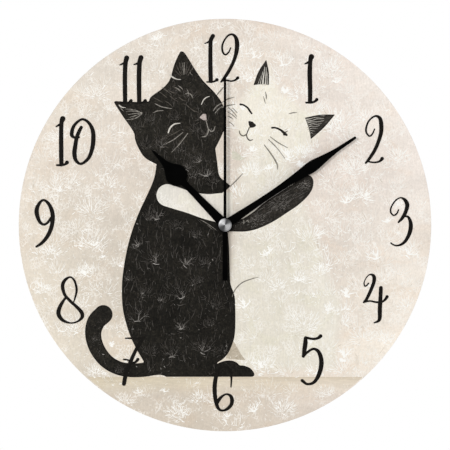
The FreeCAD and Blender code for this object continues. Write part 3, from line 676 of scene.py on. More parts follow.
# ---------------------------------------------------------------------------
# The cats and the ground. Outlines are runs of (x, z) that meet at corners.
# ---------------------------------------------------------------------------
HEAD = (
    [(-24.2, 100.8), (-22.4, 98.6), (-17.0, 89.8), (-12.6, 83.8), (-5.5, 76.4), (-1.0, 69.3),
     (0.2, 60.0), (-1.0, 54.2), (-5.3, 45.2)],
    [(-5.3, 45.2), (-20.0, 35.0), (-38.0, 34.0), (-39.8, 35.3)],
    [(-39.8, 35.3), (-46.5, 39.1), (-50.2, 44.5), (-52.3, 49.7), (-53.3, 54.3), (-59.4, 63.2),
     (-64.2, 70.6)],
    [(-64.2, 70.6), (-64.5, 71.5), (-63.6, 72.1), (-62.0, 72.0), (-52.0, 71.6), (-44.4, 71.9)],
    [(-44.4, 71.9), (-42.9, 74.7), (-37.0, 79.0), (-34.0, 81.8), (-31.8, 85.3), (-29.5, 93.4),
     (-26.6, 99.8), (-25.6, 101.0), (-24.2, 100.8)])
NECK = (
    [(-5.7, 44.9), (-4.6, 36.9), (-3.3, 28.7), (0.5, 25.0), (2.5, 23.4)],
    [(2.5, 23.4), (3.2, 22.7), (2.5, 21.9)],
    [(2.5, 21.9), (0.5, 20.1), (-1.2, 19.2), (-4.1, 18.0), (-7.9, 17.7), (-15.0, 18.0)],
    [(-15.0, 18.0), (-28.0, 26.0), (-28.0, 44.0), (-5.7, 44.9)])
BODY = (
    [(-39.9, 34.5), (-41.3, 27.0), (-44.8, 18.5), (-50.9, 5.2), (-56.2, -10.8), (-59.6, -30.0),
     (-59.8, -45.0), (-58.2, -54.7), (-55.3, -64.0), (-51.8, -71.6), (-47.1, -79.7)],
    [(-47.1, -79.7), (-44.0, -84.0), (-40.6, -86.6), (-38.0, -86.9), (-35.0, -87.9),
     (-30.0, -90.5)],
    [(-30.0, -90.5), (-4.0, -90.5), (-3.5, -84.0)],
    [(-3.5, -84.0), (-4.7, -80.5), (-1.2, -78.0), (2.3, -73.9), (4.7, -68.1), (5.8, -62.8),
     (6.1, -55.9), (6.0, -46.5), (5.8, -42.6), (5.2, -39.6), (3.8, -36.2), (3.0, -32.5),
     (2.7, -25.0), (2.5, -17.5), (2.15, -10.0), (0.8, 4.0), (-1.0, 18.0)],
    [(-1.0, 18.0), (-10.0, 30.0), (-39.9, 34.5)])
FOOT = (
    [(-8.0, -82.5), (-4.9, -80.9), (-1.7, -79.5), (2.9, -79.0), (6.4, -80.0), (7.9, -81.5),
     (11.1, -81.8), (14.5, -83.2), (16.6, -85.5), (17.1, -87.4), (15.9, -88.3)],
    [(15.9, -88.3), (4.0, -91.0), (-8.0, -91.0), (-8.0, -82.5)])
ARM = (
    [(-4.0726, 1.1636), (4.0726, 1.7454), (8.727, 3.31626), (10.82148, 3.83988),
     (16.63948, 7.67976), (20.77026, 11.28692), (24.95922, 14.66136), (33.1626, 20.13028),
     (38.9806, 23.38836), (45.9622, 27.98458), (48.5803, 28.91546), (50.38388, 27.98458),
     (51.43112, 25.5992), (51.14022, 22.34112), (49.86026, 19.1994), (46.544, 15.1268),
     (41.54052, 10.82148), (36.59522, 7.5634), (31.59174, 4.13078), (26.58826, 1.22178),
     (21.5266, -1.1636), (16.63948, -2.909), (10.82148, -3.83988), (4.0726, -3.72352),
     (-4.0726, -3.60716)],
    [(-4.0726, -3.60716), (-4.0726, 1.1636)])
# brush strokes of (x, z, width)
TAIL = [(-34.0, -82.0, 8.0), (-40.0, -83.0, 8.2), (-47.0, -84.2, 8.2), (-55.0, -84.5, 8.0),
        (-62.6, -83.0, 8.0), (-69.6, -78.6, 8.4), (-74.8, -71.2, 8.9), (-76.7, -63.2, 9.4),
        (-75.0, -56.4, 10.4), (-70.8, -52.0, 10.8)]
SLEEVE = [(-33.4, 17.3, 13.2), (-27.0, 15.2, 13.0), (-20.0, 13.0, 12.8), (-10.0, 10.6, 15.0),
          (0.0, 9.8, 18.2), (5.0, 9.8, 18.6)]

picture = Plane(-86.0, 78.0, -93.0, 106.0, pitch=0.4)


def black_cat():
    foot = join(picture.polygon(outline(*FOOT)), picture.ellipse(2.4, -82.6, 6.0, 3.7), 0.6)
    cat = join(picture.polygon(outline(*BODY)), picture.polygon(outline(*NECK)), 0.8)
    cat = join(cat, picture.polygon(outline(*HEAD)), 0.8)
    cat = np.maximum(join(cat, foot, 0.3), GROUND_Z - picture.z)
    return join(cat, picture.brush([TAIL], per=8), 1.2)


def pale_cat():
    cat = picture.capsule((24.0, 28.0, 19.0), (33.5, -50.0, 36.5))
    base = [(6.0, -40.0), (66.0, -40.0), (64.0, -84.0), (6.0, -84.0)]
    cat = join(cat, picture.polygon(base, rounding=3.0), 6.0)
    head = picture.ellipse(28.2, 57.2, 27.5, 22.3, degrees=-34.7)
    for ear in ([(24.6, 98.0), (10.5, 77.0), (22.0, 66.0), (34.0, 77.0)],
                [(67.0, 64.5), (45.5, 70.0), (38.0, 58.0), (52.0, 45.0)]):
        head = join(head, picture.polygon(ear, rounding=1.2), 3.0)
    return np.maximum(join(cat, head, 2.0), GROUND_Z + 1.0 - picture.z)


black = black_cat()
arm = picture.polygon(outline(*ARM))
pale = pale_cat()
# the pale sleeve ends on its right in an upright edge
sleeve = np.maximum(picture.brush([SLEEVE], per=8), picture.x - 4.5)
strip = Plane(-88.0, 88.0, -105.0, -82.0, pitch=0.5)
ground = np.maximum(np.hypot(strip.x, strip.z) - (DIAL_R - 0.7),
                    np.maximum(strip.z - (GROUND_Z - 0.1), -101.5 - strip.z))

# (z, display colour)
PALE_TONES = (
    (-100, (233, 227, 213)), (-80, (233, 227, 213)), (-30, (233, 227, 214)),
    (10, (234, 227, 214)), (36, (238, 232, 219)), (56, (244, 238, 224)), (100, (248, 242, 228)))
SLEEVE_TONES = ((0, (237, 231, 220)), (20, (239, 233, 223)))

relief("print_ground_band", strip, ground, Y_GROUND, mat_ground(), fill=6.0, tolerance=0.05)
relief("print_pale_cat", picture, pale, Y_PALE, mat_pale("print_pale_fur", PALE_TONES, feather=7.0),
       levels=(-1.5, -3.5, -7.0), rise=lambda depth: np.clip(depth / 5.0, 0, 1), fill=5.0,
       tolerance=0.04)
relief("print_black_cat", picture, black, Y_BLACK, mat_black_fur("print_black_fur", (27, 26, 23)),
       levels=(-0.25, -1.2), rise=round_edge(0.25), fill=5.0)
relief("print_black_arm", picture, arm, Y_ARM, mat_black_fur("print_black_arm", (41, 39, 36)),
       levels=(-0.25, -1.2), rise=round_edge(0.25))
relief("print_sleeve", picture, sleeve, Y_SLEEVE,
       mat_pale("print_sleeve_fur", SLEEVE_TONES, left_grey=0.6),
       levels=(-0.25,), rise=round_edge(0.25))

# ---------------------------------------------------------------------------
# Lines drawn on the cats. Strokes are lists of (x, z, width).
# ---------------------------------------------------------------------------
LIGHT_LINES = [
    [(-13.73048, 70.04872, 0.40726), (-12.68324, 72.37592, 0.5818), (-11.0542, 74.06314, 0.5818),
     (-9.07608, 74.81948, 0.34908)],
    [(-33.04624, 53.64196, 0.75634), (-31.999, 56.31824, 0.93088), (-29.55544, 58.64544, 0.81452),
     (-26.06464, 59.22724, 0.40726)],
    [(-32.11536, 87.50272, 0.8727), (-30.60268, 86.1064, 0.8727), (-28.27548, 84.9428, 0.52362),
     (-25.5992, 84.59372, 0.23272)],
    [(-63.18348, 71.21232, 0.5818), (-61.32172, 69.46692, 0.63998), (-59.69268, 68.41968, 0.52362),
     (-57.83092, 68.30332, 0.23272)],
]
GREY_ON_BLACK = [
    [(-10.93784, 60.5072, 0.52362), (-10.35604, 58.18, 0.5818), (-9.71606, 56.08552, 0.5818),
     (-8.1452, 54.57284, 0.63998), (-6.63252, 55.03828, 0.5818), (-5.75982, 57.36548, 0.34908)],
    [(-9.65788, 55.62008, 0.5818), (-10.00696, 53.40924, 0.63998), (-11.28692, 51.66384, 0.5818),
     (-13.3814, 51.31476, 0.34908)],
    [(-6.80706, 66.44156, 0.40726), (-4.88712, 69.00148, 0.5818), (-1.97812, 70.86324, 0.34908)],
    [(-5.818, 65.04524, 0.34908), (-3.83988, 67.37244, 0.46544), (-1.51268, 69.11784, 0.2909)],
    [(-40.726, 70.63052, 0.34908), (-36.82794, 68.76876, 0.52362), (-31.00994, 67.66334, 0.2909)],
    [(-41.71506, 65.27796, 0.34908), (-39.2715, 66.38338, 0.52362), (-35.89706, 66.55792, 0.2909)],
    [(-35.37344, 46.77672, 0.23272), (-29.6718, 49.80208, 0.46544), (-24.4356, 53.99104, 0.2909)],
    [(-31.1263, 42.23868, 0.23272), (-26.181, 47.35852, 0.46544), (-21.64296, 53.35106, 0.34908)],
    [(-24.78468, 95.997, 0.11636), (-24.4356, 92.09894, 0.2909), (-23.97016, 87.50272, 0.2909)],
    [(-23.73744, 96.92788, 0.11636), (-23.67926, 92.62256, 0.2909), (-23.50472, 87.73544, 0.23272)],
    [(-18.26852, 91.3426, 0.17454), (-19.7812, 89.94628, 0.2909), (-20.13028, 88.20088, 0.2909),
     (-18.85032, 87.15364, 0.17454)],
    [(-29.09, 80.05568, 0.23272), (-27.46096, 79.24116, 0.40726), (-25.83192, 77.84484, 0.23272)],
    [(-27.17006, 81.10292, 0.23272), (-25.5992, 79.93932, 0.40726), (-24.08652, 78.31028, 0.23272)],
    [(-23.272, 76.2158, 0.2909), (-21.17752, 76.68124, 0.46544), (-19.54848, 75.51764, 0.46544),
     (-18.85032, 73.77224, 0.23272)],
    [(-21.99204, 78.77572, 0.23272), (-21.17752, 76.56488, 0.34908), (-21.64296, 74.23768, 0.23272)],
    [(-57.3073, 66.09248, 0.23272), (-53.5256, 66.3252, 0.40726), (-48.17304, 65.39432, 0.2909)],
    [(-56.4346, 64.23072, 0.23272), (-52.59472, 64.81252, 0.46544), (-48.17304, 65.1616, 0.2909)],
    [(-55.50372, 62.60168, 0.23272), (-52.01292, 63.64892, 0.40726), (-48.2894, 64.81252, 0.23272)],
    [(-54.34012, 61.20536, 0.23272), (-51.31476, 62.48532, 0.40726), (-48.2894, 64.5798, 0.23272)],
    [(-58.06364, 67.37244, 0.17454), (-54.1074, 67.25608, 0.34908), (-49.68572, 66.09248, 0.17454)],
    [(-57.83092, 61.32172, 0.17454), (-55.271, 61.43808, 0.34908), (-52.9438, 62.36896, 0.17454)],
    [(-61.55444, 69.46692, 0.17454), (-60.04176, 67.25608, 0.34908), (-58.18, 65.39432, 0.17454)],
    [(-14.77772, 3.25808, 0.17454), (-10.4724, 0.93088, 0.31999), (-5.11984, -2.909, 0.17454)],
    [(-12.2178, 1.1636, 0.11636), (-8.95972, -1.04724, 0.20363), (-5.46892, -4.30532, 0.11636)],
    [(2.67628, -45.49676, 0.2909), (4.30532, -45.26404, 0.52362), (6.16708, -45.3804, 0.2909)],
    [(0.34908, -50.38388, 0.2909), (3.14172, -50.15116, 0.5818), (6.3998, -50.38388, 0.2909)],
    [(-36.6534, -75.40128, 0.2909), (-33.1626, -73.19044, 0.52362), (-29.09, -73.53952, 0.46544),
     (-25.0174, -75.16856, 0.23272)],
    [(-37.46792, -72.84136, 0.23272), (-33.51168, -70.16508, 0.46544),
     (-28.5082, -70.16508, 0.23272)],
    [(-3.25808, -84.12828, 0.23272), (-0.5818, -82.49924, 0.46544), (3.83988, -82.15016, 0.40726),
     (7.5634, -83.54648, 0.23272)],
    [(6.63252, -85.29188, 0.23272), (10.4724, -83.1974, 0.46544), (14.77772, -85.17552, 0.23272)],
    [(9.65788, 4.88712, 0.23272), (11.0542, 1.7454, 0.52362), (9.65788, -0.93088, 0.2909)],
    [(10.4724, 0.34908, 0.23272), (13.03232, 2.55992, 0.52362), (14.19592, 0.81452, 0.2909)],
    [(44.56588, 23.50472, 0.23272), (46.77672, 24.08652, 0.40726), (49.22028, 23.62108, 0.23272)],
    [(45.72948, 21.06116, 0.17454), (47.94032, 20.71208, 0.34908), (50.26752, 20.9448, 0.17454)],
]
DIM_ON_BLACK = [
    [(-27.22824, 97.62604, 0.11636), (-26.181, 92.33166, 0.2909), (-24.66832, 87.15364, 0.23272)],
    [(-21.29388, 97.50968, 0.11636), (-22.34112, 92.5062, 0.2909), (-23.09746, 87.8518, 0.23272)],
    [(-19.43212, 95.4152, 0.11636), (-20.82844, 91.3426, 0.2909), (-22.6902, 87.50272, 0.23272)],
    [(-28.85728, 94.65886, 0.11636), (-27.11188, 90.35354, 0.2909), (-25.0174, 86.92092, 0.23272)],
    [(-29.43908, 90.52808, 0.17454), (-27.57732, 88.31724, 0.2909), (-25.48284, 86.45548, 0.17454)],
    [(-18.38488, 92.27348, 0.17454), (-20.13028, 89.24812, 0.2909), (-21.87568, 86.45548, 0.17454)],
    [(-25.36648, 98.67328, 0.17454), (-24.78468, 96.11336, 0.2909), (-24.4356, 93.6698, 0.17454)],
    [(-22.34112, 99.13872, 0.17454), (-22.57384, 96.22972, 0.2909), (-22.80656, 93.32072, 0.17454)],
    [(-33.7444, 51.31476, 0.17454), (-29.6718, 53.17652, 0.34908), (-25.48284, 55.62008, 0.17454)],
    [(-35.95524, 50.84932, 0.11636), (-33.1626, 52.59472, 0.2909), (-29.90452, 53.99104, 0.11636)],
    [(-28.5082, 45.3804, 0.11636), (-25.83192, 48.75484, 0.2909), (-23.50472, 52.01292, 0.11636)],
    [(-38.63152, 48.63848, 0.17454), (-36.42068, 50.15116, 0.34908), (-33.62804, 50.50024, 0.17454)],
    [(-37.11884, 45.14768, 0.17454), (-34.908, 45.61312, 0.34908), (-32.34808, 44.68224, 0.17454)],
    # short diagonal strokes on the forehead
    [(-37.00248, 80.2884, 0.17454), (-34.20984, 78.31028, 0.46544), (-30.95176, 75.75036, 0.17454)],
    [(-33.86076, 79.47388, 0.17454), (-31.30084, 77.49576, 0.46544), (-28.27548, 76.56488, 0.17454)],
    [(-38.51516, 77.72848, 0.17454), (-35.83888, 75.75036, 0.40726), (-32.92988, 73.42316, 0.17454)],
    [(-32.81352, 75.75036, 0.17454), (-30.13724, 73.53952, 0.46544), (-27.3446, 71.67776, 0.17454)],
    [(-30.8354, 80.98656, 0.17454), (-28.39184, 79.24116, 0.40726), (-25.36648, 77.14668, 0.17454)],
    [(-27.3446, 74.81948, 0.17454), (-24.90104, 72.84136, 0.40726), (-22.1084, 71.91048, 0.17454)],
    [(-42.12232, 74.4704, 0.17454), (-39.09696, 72.84136, 0.40726), (-36.0716, 71.21232, 0.17454)],
    [(-35.4898, 72.49228, 0.17454), (-32.69716, 70.86324, 0.34908), (-30.2536, 68.53604, 0.17454)],
    [(-24.66832, 70.63052, 0.17454), (-22.1084, 69.58328, 0.34908), (-19.7812, 67.25608, 0.17454)],
    [(-20.71208, 68.53604, 0.17454), (-18.6176, 66.67428, 0.40726), (-16.2904, 65.7434, 0.17454)],
    [(-17.33764, 66.907, 0.11636), (-15.47588, 65.27796, 0.2909), (-13.84684, 64.11436, 0.11636)],
    [(-18.6176, 60.27448, 0.11636), (-16.52312, 60.85628, 0.2909), (-14.66136, 61.43808, 0.11636)],
    [(-17.91944, 57.83092, 0.11636), (-16.05768, 59.22724, 0.2909), (-14.31228, 60.27448, 0.11636)],
    [(-14.77772, 67.37244, 0.11636), (-13.73048, 65.97612, 0.2909), (-13.03232, 64.5798, 0.11636)],
]
EYE_LINES = [
    [(8.95972, 70.16508, 1.1636), (10.58876, 69.87418, 0.93088), (13.03232, 68.30332, 1.04724),
     (14.545, 66.20884, 1.10542), (15.53406, 64.81252, 0.8727)],
    [(27.3446, 56.55096, 1.10542), (29.32272, 56.55096, 0.98906), (31.999, 55.50372, 1.1636),
     (34.3262, 53.64196, 1.51268), (35.83888, 52.362, 1.27996)],
    [(34.67528, 53.5256, 0.5818), (36.30432, 54.6892, 0.34908)],
    [(34.3262, 52.59472, 1.1636), (36.18796, 52.47836, 0.46544)],
]
MOUTH_LINES = [
    [(14.13774, 56.66732, 0.63998), (13.14868, 54.34012, 0.63998), (12.39234, 52.71108, 0.69816),
     (10.58876, 51.83838, 0.63998), (8.90154, 52.82744, 0.63998), (8.26156, 54.80556, 0.40726)],
    [(12.5087, 52.59472, 0.63998), (12.91596, 50.73296, 0.63998), (14.31228, 49.27846, 0.69816),
     (16.23222, 49.68572, 0.40726)],
]
GREY_LINES = [
    [(26.29736, 51.31476, 0.40726), (31.06812, 47.82396, 0.63998), (36.53704, 44.85678, 0.2909)],
    [(25.25012, 49.80208, 0.40726), (27.81004, 47.30034, 0.63998), (30.77722, 44.15862, 0.46544),
     (34.79164, 38.74788, 0.2909)],
    [(22.92292, 46.544, 0.52362), (27.69368, 40.02784, 0.81452), (30.36996, 35.14072, 0.75634),
     (30.42814, 32.23172, 0.2909)],
    [(23.5629, 77.3794, 0.34908), (23.97016, 75.16856, 0.69816), (24.08652, 73.19044, 0.2909)],
    [(22.34112, 74.81948, 0.2909), (23.03928, 72.49228, 0.52362), (23.5629, 70.3978, 0.23272)],
    [(37.2352, 64.75434, 0.34908), (39.5624, 65.27796, 0.63998), (41.8896, 65.39432, 0.2909)],
    [(4.18896, -41.65688, 0.34908), (6.16708, -37.2352, 0.63998), (9.8906, -33.62804, 0.63998),
     (14.545, -31.64992, 0.5818), (19.66484, -30.2536, 0.23272)],
    [(3.14172, 22.57384, 0.46544), (6.63252, 25.94828, 0.69816), (10.23968, 29.84634, 0.34908)],
    [(-4.6544, 75.75036, 0.52362), (-2.909, 77.84484, 0.75634), (-1.04724, 80.05568, 0.46544)],
    [(-1.51268, 71.38686, 0.46544), (1.7454, 73.36498, 0.75634), (5.35256, 74.35404, 0.2909)],
    [(-1.7454, 68.30332, 0.40726), (1.7454, 69.46692, 0.75634), (5.818, 70.16508, 0.2909)],
    [(1.86176, 68.30332, 0.34908), (4.30532, 66.3252, 0.63998), (6.9816, 63.06712, 0.2909)],
    [(1.51268, 65.85976, 0.2909), (4.0726, 64.23072, 0.5818), (6.63252, 62.01988, 0.2909)],
    [(4.30532, 68.0706, 0.2909), (5.818, 66.67428, 0.52362), (7.33068, 64.92888, 0.23272)],
    [(1.27996, 63.4162, 0.2909), (3.14172, 62.71804, 0.5818), (4.77076, 61.43808, 0.2909)],
    [(1.97812, 60.15812, 0.23272), (3.72352, 59.11088, 0.46544), (5.46892, 57.36548, 0.23272)],
]
NOSE_BLACK_CAT = [(-14.31228, 62.60168), (-12.68324, 64.23072), (-11.40328, 64.23072),
                  (-11.11238, 61.32172), (-12.56688, 61.43808)]
NOSE_PALE_CAT = [(14.07956, 60.04176), (15.7086, 59.69268), (17.57036, 57.94728),
                 (16.8722, 57.36548), (14.89408, 57.0164), (14.31228, 58.52908)]

faces_plane = Plane(-62.0, 55.0, -12.0, 95.0, pitch=0.22)
grey_plane = Plane(-10.0, 50.0, -46.0, 90.0, pitch=0.22)

for name, plane, strokes, material in (
        ("print_lines_light", faces_plane, LIGHT_LINES,
         mat_line("print_line_pale", (184, 179, 170), (226, 221, 212))),
        ("print_lines_on_black", faces_plane, GREY_ON_BLACK,
         mat_line("print_line_midgrey", (104, 99, 93), (172, 167, 158))),
        ("print_lines_dim", faces_plane, DIM_ON_BLACK,
         mat_line("print_line_dim", (62, 57, 52), (108, 102, 94))),
        ("print_eyes_dark", faces_plane, EYE_LINES, LINE_DARK),
        ("print_mouth_dark", faces_plane, MOUTH_LINES,
         mat_line("print_line_soft", (58, 54, 48), (104, 98, 88))),
        ("print_lines_grey", grey_plane, GREY_LINES,
         mat_line("print_line_grey", (104, 100, 92), (154, 149, 138)))):
    relief(name, plane, plane.brush(strokes), Y_DETAIL, material, levels=(-0.15,),
           rise=round_edge(0.2, first=0.6), tolerance=0.015, fill=0)

for name, points, material in (
        ("print_nose_black_cat", NOSE_BLACK_CAT,
         mat_line("print_nose_pink", (164, 151, 145), (206, 194, 188))),
        ("print_nose_pale_cat", NOSE_PALE_CAT, LINE_DARK)):
    relief(name, faces_plane, faces_plane.polygon(points, rounding=0.5), Y_DETAIL, material,
           levels=(-0.2,), rise=round_edge(0.4), tolerance=0.015, fill=0)

# The pale hairs brushed over the dark patches in the pale cat's ears
LEFT_STRANDS = [
    [(23.03928, 92.04076, 0.23272), (22.6902, 88.08452, 0.52362), (22.22476, 84.9428, 0.69816),
     (21.87568, 80.8702, 0.8727)],
    [(23.97016, 91.69168, 0.23272), (23.8538, 86.92092, 0.52362), (23.38836, 80.8702, 0.81452)],
    [(24.66832, 89.0154, 0.11636), (24.66832, 85.5246, 0.23272), (24.55196, 80.8702, 0.40726)],
    [(21.99204, 89.36448, 0.17454), (21.17752, 85.29188, 0.2909), (20.363, 81.10292, 0.46544)],
    [(20.9448, 86.92092, 0.11636), (20.13028, 84.47736, 0.17454), (18.96668, 81.452, 0.23272)],
]
RIGHT_STRANDS = [
    [(47.00944, 61.43808, 0.63998), (49.22028, 61.72898, 0.40726), (52.01292, 62.48532, 0.23272),
     (55.50372, 62.71804, 0.11636)],
    [(47.35852, 60.39084, 0.34908), (50.84932, 60.85628, 0.20363), (53.17652, 61.6708, 0.2909),
     (57.5982, 61.90352, 0.17454)],
    [(47.59124, 59.22724, 0.52362), (50.0348, 59.9254, 0.34908), (53.75832, 60.04176, 0.17454),
     (57.36548, 60.73992, 0.20363)],
    [(47.94032, 58.00546, 0.2909), (50.96568, 58.87816, 0.2909), (53.5256, 58.52908, 0.17454),
     (56.08552, 59.11088, 0.11636)],
    [(48.17304, 56.84186, 0.46544), (50.26752, 57.5982, 0.2909), (52.01292, 57.24912, 0.17454),
     (55.03828, 57.83092, 0.17454)],
    [(48.40576, 55.50372, 0.2909), (50.6166, 56.31824, 0.20363), (53.75832, 56.20188, 0.11636)],
    [(48.63848, 54.34012, 0.23272), (50.26752, 54.92192, 0.20363), (52.24564, 54.57284, 0.11636)],
    [(48.98756, 53.17652, 0.17454), (50.26752, 53.64196, 0.17454), (51.43112, 53.17652, 0.08727)],
    [(52.12928, 63.47438, 0.17454), (54.6892, 63.7071, 0.20363), (58.18, 63.76528, 0.11636)],
]


def ear_patch(name, tip, corners, bulges, turn, seed, strands, hairs):
    """A dark three-cornered patch with dark hairs from its tip to its foot, and pale strands.

    bulges push the sides from the tip to each corner outwards; hairs is the number of dark ones.
    """
    rng = np.random.default_rng(seed)
    tip, a, b = (np.array(p, float) for p in (tip, *corners))
    centre = (tip + a + b) / 3

    def side(start, end, bulge):
        middle, along = (start + end) / 2, end - start
        outward = np.array([-along[1], along[0]]) / np.hypot(*along)
        if np.dot(outward, middle - centre) < 0:
            outward = -outward
        return [tuple(start), tuple(middle + outward * bulge), tuple(end)]

    first, last, foot = side(tip, a, bulges[0]), side(b, tip, bulges[1]), side(a, b, -0.35)
    plane = plane_round([tip, a, b], margin=3, pitch=0.12)
    base = plane.polygon(outline(first, foot, last, per=6), rounding=0.15)
    relief(name + "_base", plane, base, Y_DETAIL + 0.02, mat_ear(name + "_strands", turn),
           levels=(-0.3,), rise=round_edge(0.4, first=0.6), tolerance=0.012, fill=1.5)
    widths = (0.48, 0.8, 0.48)
    dark = [[(*point, width) for point, width in zip(line, widths)] for line in (first, last)]
    for k in range(hairs):
        t = (k + 0.5) / hairs
        root = a * (1 - t) + b * t
        top = tip + (root - tip) * rng.uniform(0.10, 0.35)
        low = tip + (root - tip) * rng.uniform(0.93, 1.05)
        across = np.array([-(low - top)[1], (low - top)[0]])
        middle = (top + low) / 2 + across * ((0.5 - t) * 0.14 + rng.uniform(-0.02, 0.02))
        width = rng.uniform(0.2, 0.36)
        dark.append([(*top, width * 0.5), (*middle, width), (*low, width * 0.4)])
    relief(name + "_dark", plane, plane.brush(dark, per=5), Y_DETAIL, LINE_DARK,
           levels=(-0.12,), rise=round_edge(0.2, first=0.6), tolerance=0.012, fill=0)
    light = np.maximum(plane.brush(strands, per=6), base + 0.15)
    relief(name + "_light", plane, light, Y_DETAIL - 0.015, EAR_STRAND, tolerance=0.012, fill=0)


ear_patch("print_ear_left", tip=(23.9, 95.6), corners=((16.9, 81.6), (25.3, 81.8)),
          bulges=(0.7, 0.5), turn=math.pi / 2 + 0.12, seed=3, strands=LEFT_STRANDS, hairs=9)
ear_patch("print_ear_right", tip=(63.5, 64.0), corners=((50.1, 50.4), (46.8, 62.2)),
          bulges=(0.5, 0.6), turn=0.48, seed=4, strands=RIGHT_STRANDS, hairs=10)

# A taupe wedge in the gap between the two cats, and a soft olive smudge
WEDGE = (
    [(4.8, -67.4), (7.0, -71.0), (9.2, -74.9), (12.4, -79.0)],
    [(12.4, -79.0), (7.0, -78.2), (0.5, -77.4)], [(0.5, -77.4), (4.8, -67.4)])
SMUDGE = (
    [(4.42168, 43.0532), (7.5634, 41.65688), (11.40328, 38.51516)],
    [(11.40328, 38.51516), (7.91248, 37.70064), (4.0726, 38.9806)],
    [(4.0726, 38.9806), (4.42168, 43.0532)])
relief("print_gap_shade", picture, picture.polygon(outline(*WEDGE), rounding=0.2), Y_PALE - 0.02,
       mat_line("print_gap_taupe", (168, 156, 137), (204, 193, 175)),
       levels=(-0.6,), rise=round_edge(0.5), tolerance=0.03, fill=0)
relief("print_smudge", faces_plane, faces_plane.polygon(outline(*SMUDGE), rounding=0.2),
       Y_PALE - 0.02, mat_line("print_olive_smudge", (206, 202, 184), (224, 219, 204)),
       levels=(-0.5,), rise=round_edge(0.6), tolerance=0.03, fill=0)

# ---------------------------------------------------------------------------
# The fibres in the paper. Clumps are lists of (points, width, brightness).
# ---------------------------------------------------------------------------
rng = np.random.default_rng(20260)
draw = rng.uniform
UP = math.pi / 2
TURN = 2 * math.pi


def hair(x, z, angle, length, bend, count):
    """A short bent stroke of count points that starts at (x, z)."""
    points = []
    angle -= bend / 2
    point = np.array([x, z], float)
    for _ in range(count):
        points.append(tuple(point))
        point = point + np.array([math.cos(angle), math.sin(angle)]) * length / (count - 1)
        angle += bend / (count - 1)
    return points


def fan(x, z, size, lean=0.0):
    """A wriggling root with thin fibres that spread upwards from it."""
    out = []
    for _ in range(int(rng.integers(4, 7))):
        px, pz = x + draw(-0.46, 0.46) * size, z + draw(-0.12, 0.10) * size
        out.append((hair(px, pz, draw(-0.8, 0.8) + lean, draw(0.16, 0.36) * size,
                         draw(-1.6, 1.6), 6), draw(0.34, 0.62), draw(0.5, 1.0)))
    count = int(rng.integers(6, 11))
    for k in range(count):
        t = -1 + 2 * (k + draw(0.2, 0.8)) / count
        px, pz = x + 0.44 * size * t, z + draw(-0.05, 0.12) * size
        length = size * draw(0.35, 0.95) * (1 - 0.35 * abs(t))
        out.append((hair(px, pz, UP - 0.55 * t + lean + draw(-0.15, 0.15), length,
                         draw(-0.8, 0.8), 7), draw(0.2, 0.4), draw(0.15, 0.75)))
    for _ in range(int(rng.integers(7, 13))):
        px, pz = x + rng.normal(0, 0.42) * size, z + rng.normal(0.05, 0.32) * size
        out.append((hair(px, pz, draw(0, TURN), draw(0.08, 0.24) * size, draw(-3.0, 3.0), 6),
                    draw(0.22, 0.44), draw(0.2, 0.9)))
    return out


def burst(x, z, size, lean, wide, dense):
    """A wide clump: rows of thin hairs that fan out round a root, over an angle of wide."""
    out = []
    count = int(rng.integers(13, 19) * dense)
    # each row's start and end as shares of the size, and its share of the hairs
    rows = ((0.10, 0.34, 0.7), (0.30, 0.60, 1.0), (0.52, 0.82, 0.75))
    for row, (near, far, share) in enumerate(rows):
        for k in range(int(count * share)):
            t = -1 + 2 * (k + draw(0.1, 0.9)) / (count * share)
            angle = UP + lean - t * wide * 0.5 * (1.25 - 0.15 * row)
            reach = size * draw(near, near + 0.12)
            length = size * (far - near) * draw(0.7, 1.35) * (1 - 0.25 * abs(t))
            px, pz = x + math.cos(angle) * reach, z + math.sin(angle) * reach * 0.85
            out.append((hair(px, pz, angle + draw(-0.25, 0.25), length, draw(-1.0, 1.0), 6),
                        draw(0.2, 0.36), draw(0.15, 0.7)))
    for _ in range(int(rng.integers(3, 6) * dense)):
        px, pz = x + rng.normal(0, 0.28) * size, z + rng.normal(0.05, 0.16) * size
        out.append((hair(px, pz, draw(-0.7, 0.7) + lean, draw(0.1, 0.28) * size,
                         draw(-1.8, 1.8), 6), draw(0.28, 0.55), draw(0.4, 1.0)))
    return out


def coral(x, z, size, lean):
    """A branching root: a thick short foot, arms that fork, and fine hairs beside them."""
    out = [(hair(x - 0.16 * size, z + draw(-0.03, 0.03) * size, draw(-0.35, 0.35) + lean,
                 0.34 * size, draw(-1.2, 1.2), 7), draw(0.8, 1.1), 1.0)]
    arms = int(rng.integers(3, 6))
    for k in range(arms):
        angle = UP + lean + (k - (arms - 1) / 2) * 2.5 / arms + draw(-0.25, 0.25)
        length = size * draw(0.32, 0.6)
        bend = draw(-1.0, 1.0)
        branch = hair(x + draw(-0.06, 0.06) * size, z, angle, length, bend, 8)
        out.append((branch, draw(0.5, 0.78), draw(0.75, 1.0)))
        for share in draw(0.3, 0.9, int(rng.integers(1, 4))):
            fork = branch[int(share * 7)]
            side = angle + (share - 0.5) * bend + rng.choice([-1, 1]) * draw(0.5, 1.1)
            out.append((hair(*fork, side, length * draw(0.3, 0.6), draw(-1.2, 1.2), 6),
                        draw(0.34, 0.55), draw(0.5, 0.95)))
    for _ in range(int(rng.integers(8, 13))):
        angle = UP + lean + draw(-1.6, 1.6)
        reach = size * draw(0.12, 0.4)
        out.append((hair(x + math.cos(angle) * reach, z + math.sin(angle) * reach,
                         angle + draw(-0.3, 0.3), size * draw(0.12, 0.3), draw(-1.2, 1.2), 6),
                    draw(0.2, 0.34), draw(0.2, 0.7)))
    return out


black_all = np.minimum(black, arm)
pale_all = np.minimum(pale, sleeve)
pale_fibres, fur_fibres, grey_fibres = [], [], []


